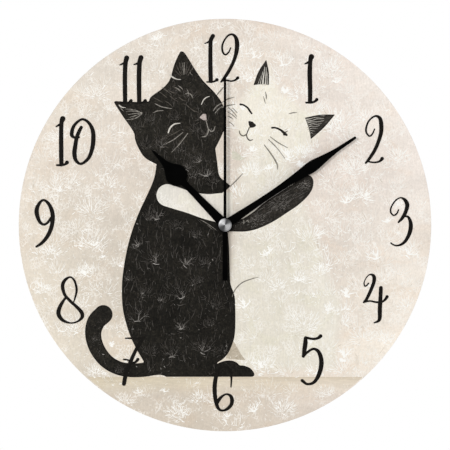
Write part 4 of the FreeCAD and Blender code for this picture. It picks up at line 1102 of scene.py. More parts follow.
def lay_pale(points, width, bright, tone, over_black=False):
    """Puts a pale fibre on the paper, or a broader one on the thicker print of the pale cat."""
    if max(math.hypot(*p) for p in points) > DIAL_R - 1.2:
        return
    ends = (points[0], points[-1])
    if not over_black and picture.touches(black_all, (*ends, points[len(points) // 2])):
        return
    if not picture.touches(pale_all, ends):
        pale_fibres.append((points, width, Y_PALE_FIBRE + 0.012 * (1 - bright), tone))
    elif not picture.touches(sleeve, points):
        fur_fibres.append((points, width * 1.75, Y_FUR_FIBRE + 0.006 * (1 - bright), tone))


def lay_grey(points, margin, lift, width, tone):
    """Puts a hair on the black cat. width and tone are ranges, drawn from if it is laid."""
    if on_black(points, margin):
        grey_fibres.append((points, draw(*width), Y_GREY_FIBRE - lift, draw(*tone)))


def on_black(points, margin=0.6):
    """Whether all the points are inside the black print by a margin, and clear of the sleeve."""
    x, z = np.array(points, float).T
    return bool((picture.sample(black_all, x, z) < -margin).all()
                and (picture.sample(sleeve, x, z) > 0.4).all())


# clumps all over the paper, in staggered rows
CLUMP_PITCH = 14.5
for j in range(-10, 11):
    for i in range(-10, 11):
        x = (i + 0.5 * (j % 2)) * CLUMP_PITCH + draw(-5.0, 5.0)
        z = j * CLUMP_PITCH * 0.88 + draw(-5.0, 5.0)
        if math.hypot(x, z) > 117:
            continue
        strong = rng.choice([0.25, 0.55, 0.9], p=[0.45, 0.4, 0.15])
        if rng.random() < 0.7:
            clump = burst(x, z, draw(9.0, 15.0), draw(-0.7, 0.7), draw(1.3, 3.2), dense=0.9)
        else:
            clump = fan(x, z, draw(8.0, 12.0), draw(-0.5, 0.5))
        for points, width, bright in clump:
            tone = -0.02 if rng.random() < 0.04 else 0.64 + 0.20 * strong + 0.14 * bright
            lay_pale(points, width * (0.8 + 0.6 * strong * bright), bright, tone)
# faint short hairs between the clumps
for _ in range(2600):
    reach, angle = 118 * math.sqrt(rng.random()), draw(0, TURN)
    points = hair(reach * math.cos(angle), reach * math.sin(angle), draw(0, TURN),
                  draw(0.8, 3.4), draw(-2.2, 2.2), 5)
    lay_pale(points, draw(0.2, 0.42), 0.2, draw(0.5, 0.86))

# (x, z, size, lean) of the wide clumps
BURSTS = (
    (-97.7424, 22.6902, 12.7996, 0.0), (-77.9612, 9.3088, 16.2904, 0.1),
    (-76.7976, -10.4724, 18.6176, 0.0), (-80.2884, -27.3446, 8.727, 0.3),
    (-101.2332, -15.7086, 10.4724, -0.3), (77.9612, 16.8722, 12.7996, -0.5),
    (48.8712, -6.3998, 16.2904, 0.0), (43.0532, -30.8354, 10.4724, 0.0),
    (46.544, -56.4346, 17.454, 0.2), (22.1084, -81.452, 12.7996, 0.0),
    (15.1268, 31.999, 10.4724, 0.0), (66.907, 57.5982, 15.1268, -0.4),
    (75.634, 33.1626, 15.1268, 0.0), (101.2332, 40.1442, 11.636, 0.3),
    (-84.9428, 90.179, 15.1268, 0.5), (-75.0522, 76.2158, 11.636, -0.3),
    (-68.6524, 23.8538, 11.636, 0.2), (80.2884, -64.5798, 12.7996, 0.4),
    (-87.8518, -61.089, 9.3088, 0.4), (-75.0522, -85.5246, 9.3088, 0.0),
    (34.3262, -106.4694, 11.636, -0.3), (-14.545, -100.6514, 10.4724, 0.4),
    (-28.5082, -108.7966, 10.4724, 0.0), (59.3436, -97.1606, 9.3088, 0.3),
    (61.089, 92.5062, 11.636, -0.3), (82.6156, 63.4162, 10.4724, 0.2),
    (55.8528, -26.181, 9.3088, 0.0), (31.4172, -34.908, 8.1452, 0.4),
    (101.2332, 11.636, 9.3088, 0.0), (106.4694, -46.544, 10.4724, 0.4),
    (-95.997, 52.362, 10.4724, 0.3), (-69.2342, -54.1074, 6.9816, 0.2),
    (44.2168, 42.4714, 9.3088, 0.0), (11.0542, 85.5246, 8.1452, 0.0),
    (43.635, 77.3794, 10.4724, 0.5), (94.8334, -66.907, 9.3088, 0.0),
    (-105.8876, -37.817, 9.3088, 0.2), (-58.18, -101.815, 9.3088, 0.0),
    (3.4908, 94.8334, 8.1452, -0.4))
# the same for the brightest, branching ones
CORALS = (
    (17.454, 98.3242, 12.7996, 0.2), (33.7444, 93.6698, 15.1268, -0.1),
    (8.727, 103.5604, 8.1452, 0.3), (48.8712, 95.997, 8.1452, -0.6),
    (70.9796, 13.9632, 13.9632, 0.2), (82.0338, 16.8722, 8.1452, -0.4),
    (88.4336, -18.0358, 16.2904, 0.5), (106.4694, -16.2904, 11.636, -0.5),
    (25.5992, -16.2904, 10.4724, 0.5), (43.0532, -31.999, 8.1452, 0.0),
    (70.9796, -39.5624, 11.636, -0.3), (11.636, -46.544, 13.9632, 0.4),
    (68.6524, -76.2158, 13.9632, 0.0), (17.454, -107.0512, 13.9632, 0.6),
    (1.1636, -111.1238, 6.9816, 0.0), (36.6534, 40.1442, 12.7996, -0.2),
    (44.2168, 34.908, 6.9816, 0.2), (26.181, 33.1626, 8.1452, 0.4),
    (15.7086, 43.635, 6.9816, 0.0), (-39.5624, 108.7966, 10.4724, 0.3),
    (-34.908, -96.5788, 6.9816, 0.2), (21.5266, -81.452, 8.1452, 0.0),
    (59.3436, -48.2894, 8.1452, -0.5), (95.4152, 2.3272, 8.1452, 0.3),
    (-76.2158, -11.0542, 5.818, 0.0), (-70.9796, -18.6176, 4.6544, 0.3),
    (-95.997, 20.363, 5.818, 0.0), (-81.452, -27.9264, 5.818, 0.2),
    (34.908, 77.9612, 6.9816, 0.2), (10.4724, 68.0706, 5.2362, 0.0),
    (85.5246, -35.4898, 6.9816, 0.2), (50.0348, -68.0706, 5.818, 0.0),
    (-50.0348, -97.1606, 6.9816, 0.3), (-65.7434, -69.816, 5.2362, 0.2),
    (-75.0522, -72.725, 4.6544, -0.2), (-7.5634, 105.3058, 5.2362, 0.2),
    (64.5798, 83.1974, 5.818, 0.2))
OVER_BLACK = (11.636, -46.544)  # the branching clump whose fibres may cross the black cat

for x, z, size, lean in BURSTS:
    for points, width, bright in burst(x, z - 0.2 * size, size * 0.9, lean, draw(2.2, 3.6), 1.25):
        lay_pale(points, width * (1.0 + 0.5 * bright), bright, 0.80 + 0.24 * bright)
for x, z, size, lean in CORALS:
    calm = 0.2 if z < GROUND_Z else 0.12 if x < -40 else 0.0
    for points, width, bright in coral(x, z - 0.1 * size, size, lean):
        lay_pale(points, width * (0.85 + 0.3 * bright - calm), bright,
                 0.86 + 0.2 * bright - calm, over_black=(x, z) == OVER_BLACK)

# (x, z, size) of the clumps on the black cat
BLACK_CLUMPS = (
    (-40.1442, -18.6176, 12), (-22.6902, -20.363, 9), (-25.0174, -39.5624, 12),
    (-51.1984, -52.9438, 12), (-25.5992, -58.7618, 8), (-30.8354, -73.8886, 11),
    (-11.636, -22.1084, 6), (-47.1258, -39.5624, 7), (-6.3998, -47.1258, 6),
    (-39.5624, 5.818, 9), (-44.7986, 4.0726, 6), (-50.6166, -10.4724, 8),
    (-28.5082, -0.5818, 6), (-16.8722, -6.3998, 6), (-12.7996, -70.9796, 9),
    (-43.635, -73.8886, 7), (-1.7454, -73.8886, 6), (-62.2526, -85.5246, 5),
    (-75.0522, -66.907, 6), (-15.7086, -33.1626, 6), (-37.2352, -43.635, 5),
    (-56.4346, -31.4172, 6), (-8.727, -58.18, 6), (-14.545, 38.9806, 8),
    (-22.1084, 34.908, 8), (-11.0542, 30.8354, 8), (-19.1994, 28.5082, 7),
    (-27.3446, 43.635, 7), (-36.6534, 47.7076, 8), (-45.9622, 45.9622, 7),
    (-20.363, 75.634, 7), (-30.8354, 77.3794, 6), (-44.7986, 61.089, 6),
    (-52.362, 56.4346, 6), (-6.3998, 25.0174, 6), (8.727, 1.7454, 6), (26.181, 1.7454, 6),
    (-10.4724, 52.362, 5), (-16.8722, 55.271, 5), (-30.2536, 62.2526, 6))
for x, z, size in BLACK_CLUMPS:
    dim = 0.55 if z > 32 else 0.5 if x < -60 else 0.8 if z < -45 else 1.0
    lean = draw(-0.45, 0.45)
    clump = burst(x, z - 0.35 * size, size * 1.45, lean, draw(1.2, 2.6), dense=0.62)
    for points, width, bright in clump:
        if on_black(points):
            grey_fibres.append((points, width * (0.42 + 0.22 * bright), Y_GREY_FIBRE,
                                0.04 + 0.20 * bright * dim))
    if size >= 8:
        clump = coral(x, z - 0.3 * size, size * 1.15, lean)
    else:
        clump = fan(x, z, size * 0.85)
    for points, width, bright in clump:
        if on_black(points):
            grey_fibres.append((points, width * (0.30 + 0.16 * bright), Y_GREY_FIBRE - 0.002,
                                0.04 + (0.16 * bright + 0.42 * bright**6) * dim))

# hairs that lie along the black arm, curly knots on it, and a grey line along its upper edge, which
# is a pale sliver with the minute hand's shadow painted on it
for _ in range(150):
    t, u = rng.random(), draw(-1, 1)
    x, z = 12.0 + 38.0 * t, 3.4 + 17.0 * t + 5.0 * t * t + u * (3.0 + 3.6 * t)
    points = hair(x, z, 0.50 + 0.22 * t + draw(-0.16, 0.16), draw(2.0, 6.5), draw(-0.5, 0.5), 7)
    lay_grey(points, margin=0.7, lift=0.0, width=(0.14, 0.26), tone=(0.06, 0.32))
for x, z, size in ((31.999, 12.2178, 8.06), (18.6176, 1.7454, 7.44), (46.544, 22.6902, 4.96)):
    for points, width, bright in burst(x, z, size, draw(-0.3, 0.3), wide=5.6, dense=1.3):
        if on_black(points):
            grey_fibres.append((points, width * 0.75, Y_GREY_FIBRE - 0.004, 0.18 + 0.34 * bright))
# a grey line along the arm's upper edge: painted shadow of the minute hand on a pale sliver
for points, width, tone in (
        ([(9.2, 4.0), (13.4, 6.8), (18.4, 10.0), (23.0, 13.2), (26.2, 15.2)], 0.75, 0.62),
        ([(22.0, 12.8), (28.0, 16.6), (33.6, 20.2), (38.6, 22.9)], 0.4, 0.55)):
    grey_fibres.append((points, width, Y_GREY_FIBRE - 0.008, tone))


def scatter(hairs, x, z, angle, length, bend, count, **look):
    """Single hairs on the black cat. x, z, angle, length and bend are ranges."""
    for _ in range(hairs):
        points = hair(draw(*x), draw(*z), draw(*angle), draw(*length), draw(*bend), count)
        lay_grey(points, **look)


# long thin hairs that stand nearly upright, short marks everywhere, and a few bright ones
scatter(640, x=(-60, 8), z=(-86, 98), angle=(UP - 0.35, UP + 0.35), length=(2.5, 8),
        bend=(-1.1, 1.1), count=7, margin=1.0, lift=0.0, width=(0.12, 0.26), tone=(0.0, 0.2))
scatter(900, x=(-80, 52), z=(-88, 100), angle=(0, TURN), length=(1.2, 3.6),
        bend=(-2.8, 2.8), count=6, margin=0.5, lift=0.0, width=(0.12, 0.24), tone=(-0.02, 0.2))
scatter(46, x=(-80, 52), z=(-88, 60), angle=(-1.2, 1.2), length=(0.9, 2.2),
        bend=(-0.8, 0.8), count=5, margin=0.8, lift=0.005, width=(0.22, 0.4), tone=(0.5, 0.9))

fibre_mesh("paper_fibres_pale", pale_fibres, Y_SINK, FIBRE_PALE)
fibre_mesh("fur_fibres_pale", fur_fibres, Y_FUR_SINK, FIBRE_PALE)
fibre_mesh("paper_fibres_on_black", grey_fibres, Y_BLACK + 0.02,
           mat_line("paper_fibre_grey", (48, 42, 37), (206, 201, 195), toned=True))

# ---------------------------------------------------------------------------
# The numbers, as brush strokes of (x, z, width)
# ---------------------------------------------------------------------------
NUMERAL_WEIGHT = 1.08  # a factor on all the widths
NUMERALS = {
    1: [
        [(50.3, 97.9, 2.91), (49.6, 95.4, 2.33), (49.3, 88.1, 2.56), (49.5, 79.7, 2.44),
         (49.5, 71.8, 2.33)],
        [(48.9, 94.8, 1.4), (47.8, 94.3, 1.16), (46.4, 93.7, 0.58)],
        [(47.2, 71.2, 1.05), (50.3, 71.2, 1.16), (52.4, 72, 1.28), (53.4, 73, 1.75)]],
    2: [
        [(87, 55.8, 0.7), (85.8, 53.1, 0.81), (84.1, 51.7, 0.87), (82.3, 53.6, 0.99),
         (82.1, 56.3, 1.05), (83.3, 59.9, 0.93), (85.5, 62.4, 0.93), (88, 63.4, 1.16),
         (90.2, 61.9, 1.98), (90.9, 58.2, 2.33), (90.8, 54, 2.21), (89.4, 48.9, 1.98),
         (87, 43.3, 1.86), (83.8, 38.4, 1.63), (81.9, 36.1, 1.05)],
        [(83.3, 36.9, 0.81), (86.5, 36.4, 0.93), (89.4, 36.8, 1.05), (90.9, 37.9, 1.51),
         (91.4, 38.6, 1.98)]],
    3: [
        [(101, 8.8, 0.7), (99.9, 6.6, 0.87), (98.1, 5.6, 0.87), (96.5, 7.3, 0.93),
         (96.5, 9.8, 0.87), (98.2, 13, 0.81), (100.4, 15.2, 0.76), (102.6, 15.8, 0.87),
         (104.8, 14.4, 1.86), (106, 11.8, 2.33), (105.5, 8.8, 2.09), (104.3, 5.9, 1.98),
         (102.7, 3.5, 1.63), (100.9, 1.6, 0.93)],
        [(104.8, 5.1, 0.93), (106.5, 4.7, 1.28), (107.7, 2.4, 1.86), (108.1, -1, 2.33),
         (107.3, -4.9, 2.09), (105.3, -8.8, 1.75), (102.9, -11.1, 1.4), (100.1, -12, 0.93),
         (98, -11.5, 0.81), (96.5, -10.5, 0.76)]],
    4: [
        [(83.5, -33.9, 0.81), (82.5, -35.1, 0.81), (81.3, -35.5, 0.81), (80.9, -33.6, 0.64),
         (82, -31, 0.58), (83.7, -29.1, 0.64), (85.5, -28.9, 1.16), (86.7, -30.2, 1.98),
         (86.7, -32.7, 1.98), (85.7, -35.8, 1.86), (84, -39.8, 1.75), (82.3, -43.2, 1.63),
         (80.8, -44.9, 1.16)],
        [(81.3, -44.7, 1.05), (84.5, -44.2, 0.93), (87.9, -44.9, 1.05), (91.3, -44.7, 1.05),
         (93.3, -43.2, 1.4), (94.3, -41.7, 1.75)],
        [(90.7, -36.6, 2.09), (90.5, -41, 2.09), (90.1, -48.3, 2.33), (90, -54, 2.09),
         (89.1, -55.9, 1.4), (86.8, -56.9, 0.7)]],
    5: [
        [(55.6, -64.6, 2.0), (54.4, -65.6, 1.6), (52.6, -66.2, 1.35), (50.3, -66.2, 1.3),
         (46.8, -65.4, 1.3)],
        [(46.9, -66, 2.1), (46.7, -69.2, 2.5), (46.2, -72.7, 2.35), (45.6, -76.3, 1.75)],
        [(45.7, -76.3, 1.3), (47.7, -74.2, 1.35), (51.3, -72.1, 1.35), (54.4, -73.7, 1.95),
         (56, -78.3, 2.45), (55.7, -83.5, 2.45), (53.9, -88.6, 2.1), (51.3, -91.8, 1.6),
         (47.7, -92.5, 1.35), (44.9, -90.5, 1.75)]],
    6: [
        [(3.5, -94.2, 0.7), (3.7, -88.4, 1.16), (2.6, -84.4, 1.4), (-0.6, -82.4, 1.28),
         (-3.6, -84, 1.63), (-5.1, -87.9, 2.09), (-5.9, -92.3, 2.33), (-6, -96.9, 2.33),
         (-5.5, -101.8, 2.09), (-4.4, -105.7, 1.86), (-3, -107.5, 1.4), (-0.9, -107.9, 1.16),
         (1.7, -106.7, 1.75), (3.7, -104.3, 1.98), (4.1, -101.6, 2.09), (3.2, -99.4, 1.63),
         (1.2, -98.4, 1.05), (-0.9, -99.1, 1.16), (-3.1, -101.1, 1.75), (-4.4, -103.3, 1.75)]],
    7: [
        [(-57.9, -65.9, 0.7), (-54.3, -65.9, 1.05), (-50.6, -66.1, 1.16), (-47.2, -65.5, 1.4)],
        [(-47.5, -66.1, 1.16), (-49.7, -69.1, 1.63), (-51.7, -72.4, 1.86), (-54.9, -79.4, 2.09),
         (-57.4, -85.6, 2.33), (-58.8, -92.4, 2.21)],
        [(-59, -78.2, 0.81), (-56.4, -78.6, 0.99), (-54.3, -80.1, 1.16), (-52.2, -79.8, 1.28),
         (-50.7, -78.2, 1.75)]],
    8: [
        [(-87.9, -44.5, 0.7), (-86.6, -40, 1.16), (-86.4, -36.5, 1.28), (-87.7, -32.2, 1.16),
         (-90.1, -30.3, 0.93), (-93.1, -32.1, 1.75), (-94.5, -35.5, 1.98), (-93.3, -40.4, 1.63),
         (-90.4, -43.9, 1.63), (-86.2, -47.7, 1.75), (-83.5, -50.8, 2.09), (-83.1, -53.5, 1.86),
         (-85.6, -56, 1.05), (-89.8, -57, 0.87), (-94.5, -55.3, 1.75), (-96.9, -51.5, 2.33),
         (-95.8, -47.1, 1.98), (-93, -42.6, 1.28)]],
    9: [
        [(-101, 4.5, 1.3), (-103.2, 1.4, 1.35), (-105.5, 0.3, 1.3), (-108, 2.2, 1.8),
         (-109.6, 7.6, 2.44), (-108.5, 11.8, 1.86), (-105.8, 14.5, 1.22), (-102.9, 12.7, 1.7),
         (-100.8, 8.6, 2.25), (-100.2, 4.1, 2.33), (-101, -1.3, 2.25), (-103.2, -6.4, 2.1),
         (-106.4, -10.3, 1.75), (-109.7, -12.6, 1.15)]],
    10: [
        [(-94.4, 61.8, 2.91), (-95.1, 59.6, 2.33), (-95.3, 54.2, 2.33), (-95.3, 44.6, 2.44),
         (-95.2, 35.3, 2.33)],
        [(-95.7, 58.6, 1.28), (-96.8, 58.1, 1.16), (-98.1, 57.3, 0.81)],
        [(-97.8, 34.8, 1.05), (-94.9, 34.8, 1.22), (-92.9, 35.4, 1.28), (-91.9, 36.4, 2.09)],
        [(-85, 51.1, 1.16), (-87.3, 50.8, 1.28), (-89.1, 52.2, 1.98), (-88.9, 55, 1.98),
         (-87.3, 58.5, 1.6), (-83.1, 61.5, 1.3), (-79.3, 59.5, 1.65), (-77, 55.1, 2.21),
         (-76.6, 49.7, 2.44), (-77.4, 43.9, 2.21), (-79.5, 38.8, 1.85), (-83.6, 35.6, 1.35),
         (-86.6, 37.4, 1.85), (-87.6, 41.4, 2.44), (-87.1, 46.1, 2.33), (-86.2, 51, 2.09),
         (-84.7, 54.8, 1.98), (-83.6, 56.8, 1.75)]],
    11: [
        [(-57.2, 97.2, 2.68), (-57.9, 94.3, 2.44), (-58.2, 88.1, 2.44), (-58.2, 79.7, 2.44),
         (-58.1, 71.6, 2.33)],
        [(-58.5, 94.4, 1.28), (-59.8, 93.7, 1.05), (-61.2, 93.1, 0.58)],
        [(-48.9, 97.4, 2.68), (-49.7, 94.3, 2.56), (-50, 88.1, 2.56), (-50, 79.7, 2.5),
         (-49.9, 71.6, 2.33)],
        [(-50.4, 94.4, 1.28), (-51.7, 93.7, 1.05), (-53.1, 93.3, 0.58)],
        [(-60.7, 71, 0.93), (-57.9, 71, 1.16), (-55.9, 71.3, 1.16), (-54.7, 72.3, 1.86)],
        [(-52.5, 71, 0.93), (-49.8, 71, 1.16), (-47.7, 71.3, 1.16), (-46.4, 72.3, 1.86)]],
    12: [
        [(-7, 110, 2.21), (-8.1, 108, 2.21), (-8.4, 106, 2.21), (-8.5, 101.1, 2.21),
         (-8.5, 93.7, 2.33), (-8.3, 83.8, 2.33)],
        [(-9, 106.9, 1.28), (-10.2, 106.2, 0.93), (-11.7, 105.6, 0.58)],
        [(-10.5, 83.2, 0.81), (-7.6, 83.2, 0.99), (-5.9, 83.7, 1.05), (-4.7, 84.5, 1.86)],
        [(3.3, 103, 0.7), (2.2, 100.6, 0.87), (0.3, 99.1, 0.93), (-1.3, 100.6, 1.05),
         (-1.6, 104, 1.05), (-0.5, 107.2, 0.93), (1.7, 110.1, 0.99), (4.1, 110.9, 1.16),
         (6.1, 109.4, 1.75), (7, 106, 2.44), (6.8, 101.6, 2.33), (5.4, 96.2, 1.86),
         (2.9, 90.8, 1.86), (0.2, 86.4, 1.75), (-2.3, 83.3, 0.93)],
        [(-1.7, 83.7, 0.93), (0.7, 84.2, 0.93), (3.6, 83.7, 0.87), (6.1, 84.4, 1.05),
         (7.4, 85.6, 1.75)]],
}

INK = mat_ink()
for number, strokes in NUMERALS.items():
    strokes = [[(x, z, width * NUMERAL_WEIGHT) for x, z, width in s] for s in strokes]
    plane = plane_round([p[:2] for s in strokes for p in s], margin=3.5, pitch=0.15)
    relief(f"numeral_{number}", plane, plane.brush(strokes, per=8), Y_NUMERAL, INK,
           levels=(-0.12, -0.4), rise=round_edge(0.4, first=0.45), tolerance=0.012, fill=0)


# ---------------------------------------------------------------------------
# Materials of the CAD pieces
# ---------------------------------------------------------------------------
def mat_fibreboard():
    """Pale brown matted fibres, with darker pressed skins at the board's two faces."""
    m = Mat("board_fibre", rough=0.82, spec=0.2)
    y = m.xyz()[1]
    matted = m.noise(size=1.1, detail=4.0, rough=0.7, warp=1.2, turn=0.5, stretch=(1, 0.5, 0.25))
    crossed = m.noise(size=1.0, detail=4.0, rough=0.7, warp=1.0, turn=-0.7,
                      stretch=(0.25, 0.5, 1.2))
    speck = m.voronoi(size=1.6)
    colour = m.ramp(matted, (0.25, (142, 112, 78)), (0.5, (172, 140, 102)),
                    (0.78, (198, 168, 128)))
    colour = m.mix(0.45, colour, m.ramp(crossed, (0.3, (150, 118, 84)), (0.7, (206, 176, 136))))
    colour = m.mix(m.times(m.step(speck, off=0.24, on=0.10), 0.55), colour, (112, 84, 56))
    wide = m.noise(size=26.0, detail=2.0)
    colour = m.shade(colour, wide, (0.3, 0.90), (0.7, 1.07), amount=0.8)
    # clots of fibre, a few dark chips, and faint upright streaks
    clot = m.noise(size=5.0, detail=4.0, rough=0.65, warp=1.2, stretch=(1, 1, 0.8))
    colour = m.shade(colour, clot, (0.3, 0.84), (0.5, 0.98), (0.7, 1.12))
    chip = m.noise(size=1.9, detail=2.0, rough=0.5, warp=0.6, loc=(17, 0, 5), turn=0.6,
                   stretch=(1, 1, 0.45))
    colour = m.mix(m.times(m.step(chip, off=0.66, on=0.74), 0.75), colour, (104, 76, 50))
    streak = m.noise(size=1.0, rough=0.6, stretch=(0.7, 1, 26))
    colour = m.shade(colour, streak, (0.3, 0.94), (0.7, 1.05), amount=0.8)
    from_middle = m.calc("ABSOLUTE", m.plus(y, 19.5))
    skin = m.times(m.step(from_middle, off=1.6, on=2.1), 0.35)
    colour = m.mix(skin, colour, (150, 118, 84))
    return m.finish(colour, m.weigh((matted, 0.6), (crossed, 0.6)), depth=0.12, strength=0.6)


def mat_foam():
    m = Mat("foam_white_cells", rough=0.9, spec=0.15)
    cell = m.voronoi(size=0.55, feature="DISTANCE_TO_EDGE")
    # pale cell walls and darker hollows: painted shade inside the cells
    colour = m.ramp(cell, (0.0, (246, 246, 242)), (0.12, (236, 236, 230)),
                    (0.45, (205, 205, 198)))
    colour = m.shade(colour, m.noise(size=5.0), (0.3, 0.93), (0.7, 1.04), amount=0.5)
    return m.finish(colour, cell, depth=-0.15, strength=0.7)


def mat_moulded(name, dark, light, rough, grain, depth, bevel, spec=0.4, flow=0.0, wear_and_highlight=None,
                wear_and_highlight_share=0.6, sharp=None):
    """Moulded plastic: a fine texture with softened edges.

    flow is the strength of flow lines. The next two arguments are the lighter colour of the
    edges, partly worn and partly a painted highlight that outlines them, and how much of it they
    get. sharp is the x and z range, low and high, of fine grooves whose edges get none of it.
    """
    m = Mat(name, rough=rough, spec=spec)
    spark = m.noise(size=grain, detail=2.0, rough=0.6)
    cells = m.voronoi(size=grain * 1.6)
    cloud = m.noise(size=9.0, warp=0.4)
    colour = m.ramp(m.weigh((cloud, 0.7), (spark, 0.3)), (0.3, dark), (0.7, light))
    if flow:
        lines = m.noise(size=1.0, warp=0.5, turn=0.35, stretch=(7, 2, 0.8))
        colour = m.shade(colour, lines, (0.3, 0.9), (0.7, 1.06), amount=flow)
    softened = m.bevel(bevel)
    # the edges are lightened in patches: partly worn, partly a painted highlight that outlines the
    # edges and the marks on them
    if wear_and_highlight:
        flat = m.node("NewGeometry").outputs["True Normal"]
        facing = m.node("VectorMath", {0: softened, 1: flat}, operation="DOT_PRODUCT")
        edge = m.step(facing.outputs["Value"], off=0.995, on=0.93)
        patch = m.step(m.noise(size=1.8, detail=4.0), off=0.42 - 0.3 * (wear_and_highlight_share - 0.6), on=0.62)
        rub_and_highlight = m.times(edge, m.times(patch, wear_and_highlight_share))
        if sharp:
            x, _, z = m.xyz()
            inside = m.times(m.band(x, low=sharp[0] - 0.05, high=sharp[1] + 0.05, soft=0.1),
                             m.band(z, low=sharp[2] - 0.05, high=sharp[3] + 0.05, soft=0.1))
            rub_and_highlight = m.times(rub_and_highlight, m.calc("SUBTRACT", 1.0, inside))
        colour = m.mix(rub_and_highlight, colour, wear_and_highlight)
    sheen = m.ramp(m.weigh((cloud, 0.5), (spark, 0.5)), (0.3, rough - 0.1), (0.7, rough + 0.12))
    return m.finish(colour, m.plus(spark, cells), depth, rough=sheen, normal=softened)


def mat_metal(name, dark, light, rough, size, stretch, depth=0.01, stain=None, bevel=0.05):
    """Metal with finishing marks of a size and stretch, and patches of stain."""
    m = Mat(name, rough=rough, metal=1.0)
    marks = m.noise(size=size, rough=0.6, stretch=stretch)
    cloud = m.noise(size=4.0, warp=0.6)
    colour = m.ramp(m.weigh((marks, 0.5), (cloud, 0.5)), (0.3, dark), (0.7, light))
    if stain:
        patch = m.step(m.noise(size=2.2, detail=4.0, warp=0.5), off=0.58, on=0.72)
        colour = m.mix(m.times(patch, 0.5), colour, stain)
    sheen = m.ramp(m.weigh((marks, 0.6), (cloud, 0.4)), (0.25, rough - 0.08),
                   (0.75, rough + 0.14))
    return m.finish(colour, marks, depth, rough=sheen, normal=m.bevel(bevel))


def mat_brass():
    """Turned brass: fine rings about the Y axis."""
    m = Mat("collet_turned_brass", rough=0.3, metal=1.0)
    place = m.at()
    rings = m.wave(size=0.12, warp=0.5, place=place, wave_type="RINGS", rings_direction="Y")
    x, _, z = m.xyz(place)
    band = m.line_noise(m.hypot(x, z), scale=3.5)
    uneven = m.noise(size=0.12, loc=(0, 0, 0))
    colour = m.ramp(m.weigh((band, 0.7), (uneven, 0.3)), (0.3, (176, 134, 62)),
                    (0.7, (218, 178, 98)))
    sheen = m.ramp(band, (0.3, 0.24), (0.7, 0.4))
    return m.finish(colour, rings, depth=0.008, strength=0.35, rough=sheen)


# (degrees counter-clockwise from the right, grey level) round the hub cap: painted highlights and
# painted dark reflections of a turned face
CAP_PAINTED_HIGHLIGHTS = (
    (-180, 128), (-165, 92), (-150, 64), (-120, 56), (-102, 72), (-88, 122), (-70, 160),
    (-45, 174), (0, 174), (15, 146), (30, 98), (45, 74), (60, 58), (72, 60), (83, 104),
    (96, 164), (120, 178), (142, 190), (162, 164), (180, 128))


def mat_cap():
    """The turned face of the hub cap, with painted highlights and painted dark reflections as light
    and dark sectors about its centre.
    """
    m = Mat("cap_turned_aluminium_painted_highlights", rough=0.42, metal=0.5, spec=0.3)
    x, _, z = m.xyz()
    round_share = m.across(m.calc("ARCTAN2", z, x), low=-math.pi, high=math.pi)
    # the light and dark sectors are painted highlights and painted dark reflections, as a lamp gives
    # on a turned face
    painted_highlights = m.ramp(round_share, *(((a + 180) / 360.0, (v, v, v + 1)) for a, v in CAP_PAINTED_HIGHLIGHTS))
    rings = m.wave(size=0.3, warp=0.5, wave_type="RINGS", rings_direction="Y")
    radius = m.hypot(x, z)
    band = m.line_noise(radius, scale=2.6)
    colour = m.shade(painted_highlights, band, (0.3, 0.80), (0.5, 1.0), (0.7, 1.22), amount=0.9)
    rim = m.times(m.step(radius, off=3.0, on=3.7), 0.5)
    colour = m.mix(rim, colour, m.tint(colour, (0.62, 0.62, 0.63, 1.0)))
    sheen = m.ramp(band, (0.3, 0.36), (0.7, 0.5))
    return m.finish(colour, rings, depth=0.006, strength=0.35, rough=sheen)


def mat_hand():
    """A very fine matt black powder."""
    m = Mat("hand_black_powder", rough=0.75, spec=0.02)
    grain = m.noise(size=0.16, detail=2.0, rough=0.7)
    cloud = m.noise(size=6.0)
    colour = m.ramp(m.weigh((grain, 0.6), (cloud, 0.4)), (0.35, (0.5, 0.5, 0.5)),
                    (0.65, (5, 5, 5)))
    sheen = m.ramp(grain, (0.3, 0.66), (0.7, 0.86))
    return m.finish(colour, grain, depth=0.012, rough=sheen, normal=m.bevel(0.12))


def mat_winding():
    m = Mat("copper_enamel_wire", rough=0.28, metal=1.0)
    wires = m.wave(size=0.16, warp=0.35)
    cloud = m.noise(size=2.5, warp=0.5)
    # across each turn of wire the colour runs from painted shade in the groove between turns to a
    # painted highlight on its top
    colour = m.ramp(wires, (0.1, (108, 50, 22)), (0.45, (188, 104, 56)), (0.9, (226, 148, 92)))
    colour = m.mix(0.5, colour, m.ramp(cloud, (0.3, (160, 84, 44)), (0.7, (222, 146, 90))))
    sheen = m.ramp(cloud, (0.3, 0.22), (0.7, 0.38))
    return m.finish(colour, wires, depth=0.06, strength=0.9, rough=sheen)


def mat_circuit_board():
    """Green mask over a weave and tracks, with bare edges."""
    m = Mat("board_green_mask", rough=0.38, spec=0.5)
    y = m.xyz()[1]
    weave = m.plus(m.wave(size=0.55, warp=0.2),
                   m.wave(size=0.55, warp=0.2, bands_direction="Z"))
    tracks = m.voronoi(size=2.6, feature="DISTANCE_TO_EDGE", rand=0.55, loc=(-19, 0, 18),
                       stretch=(1, 50, 1))
    line = m.step(tracks, off=0.16, on=0.11)
    colour = m.ramp(m.times(weave, 0.5), (0.2, (22, 74, 46)), (0.8, (34, 98, 60)))
    colour = m.mix(m.times(line, 0.7), colour, (58, 136, 84))
    side = m.times(m.step(y, off=-4.16, on=-4.10),
                   m.calc("SUBTRACT", 1.0, m.step(y, off=-3.50, on=-3.44)))
    bare = m.ramp(m.noise(size=0.3), (0.3, (176, 164, 110)), (0.7, (206, 196, 142)))
    colour = m.mix(m.times(side, 0.85), colour, bare)
    return m.finish(colour, m.plus(m.times(weave, 0.25), line), depth=0.03, strength=0.6)


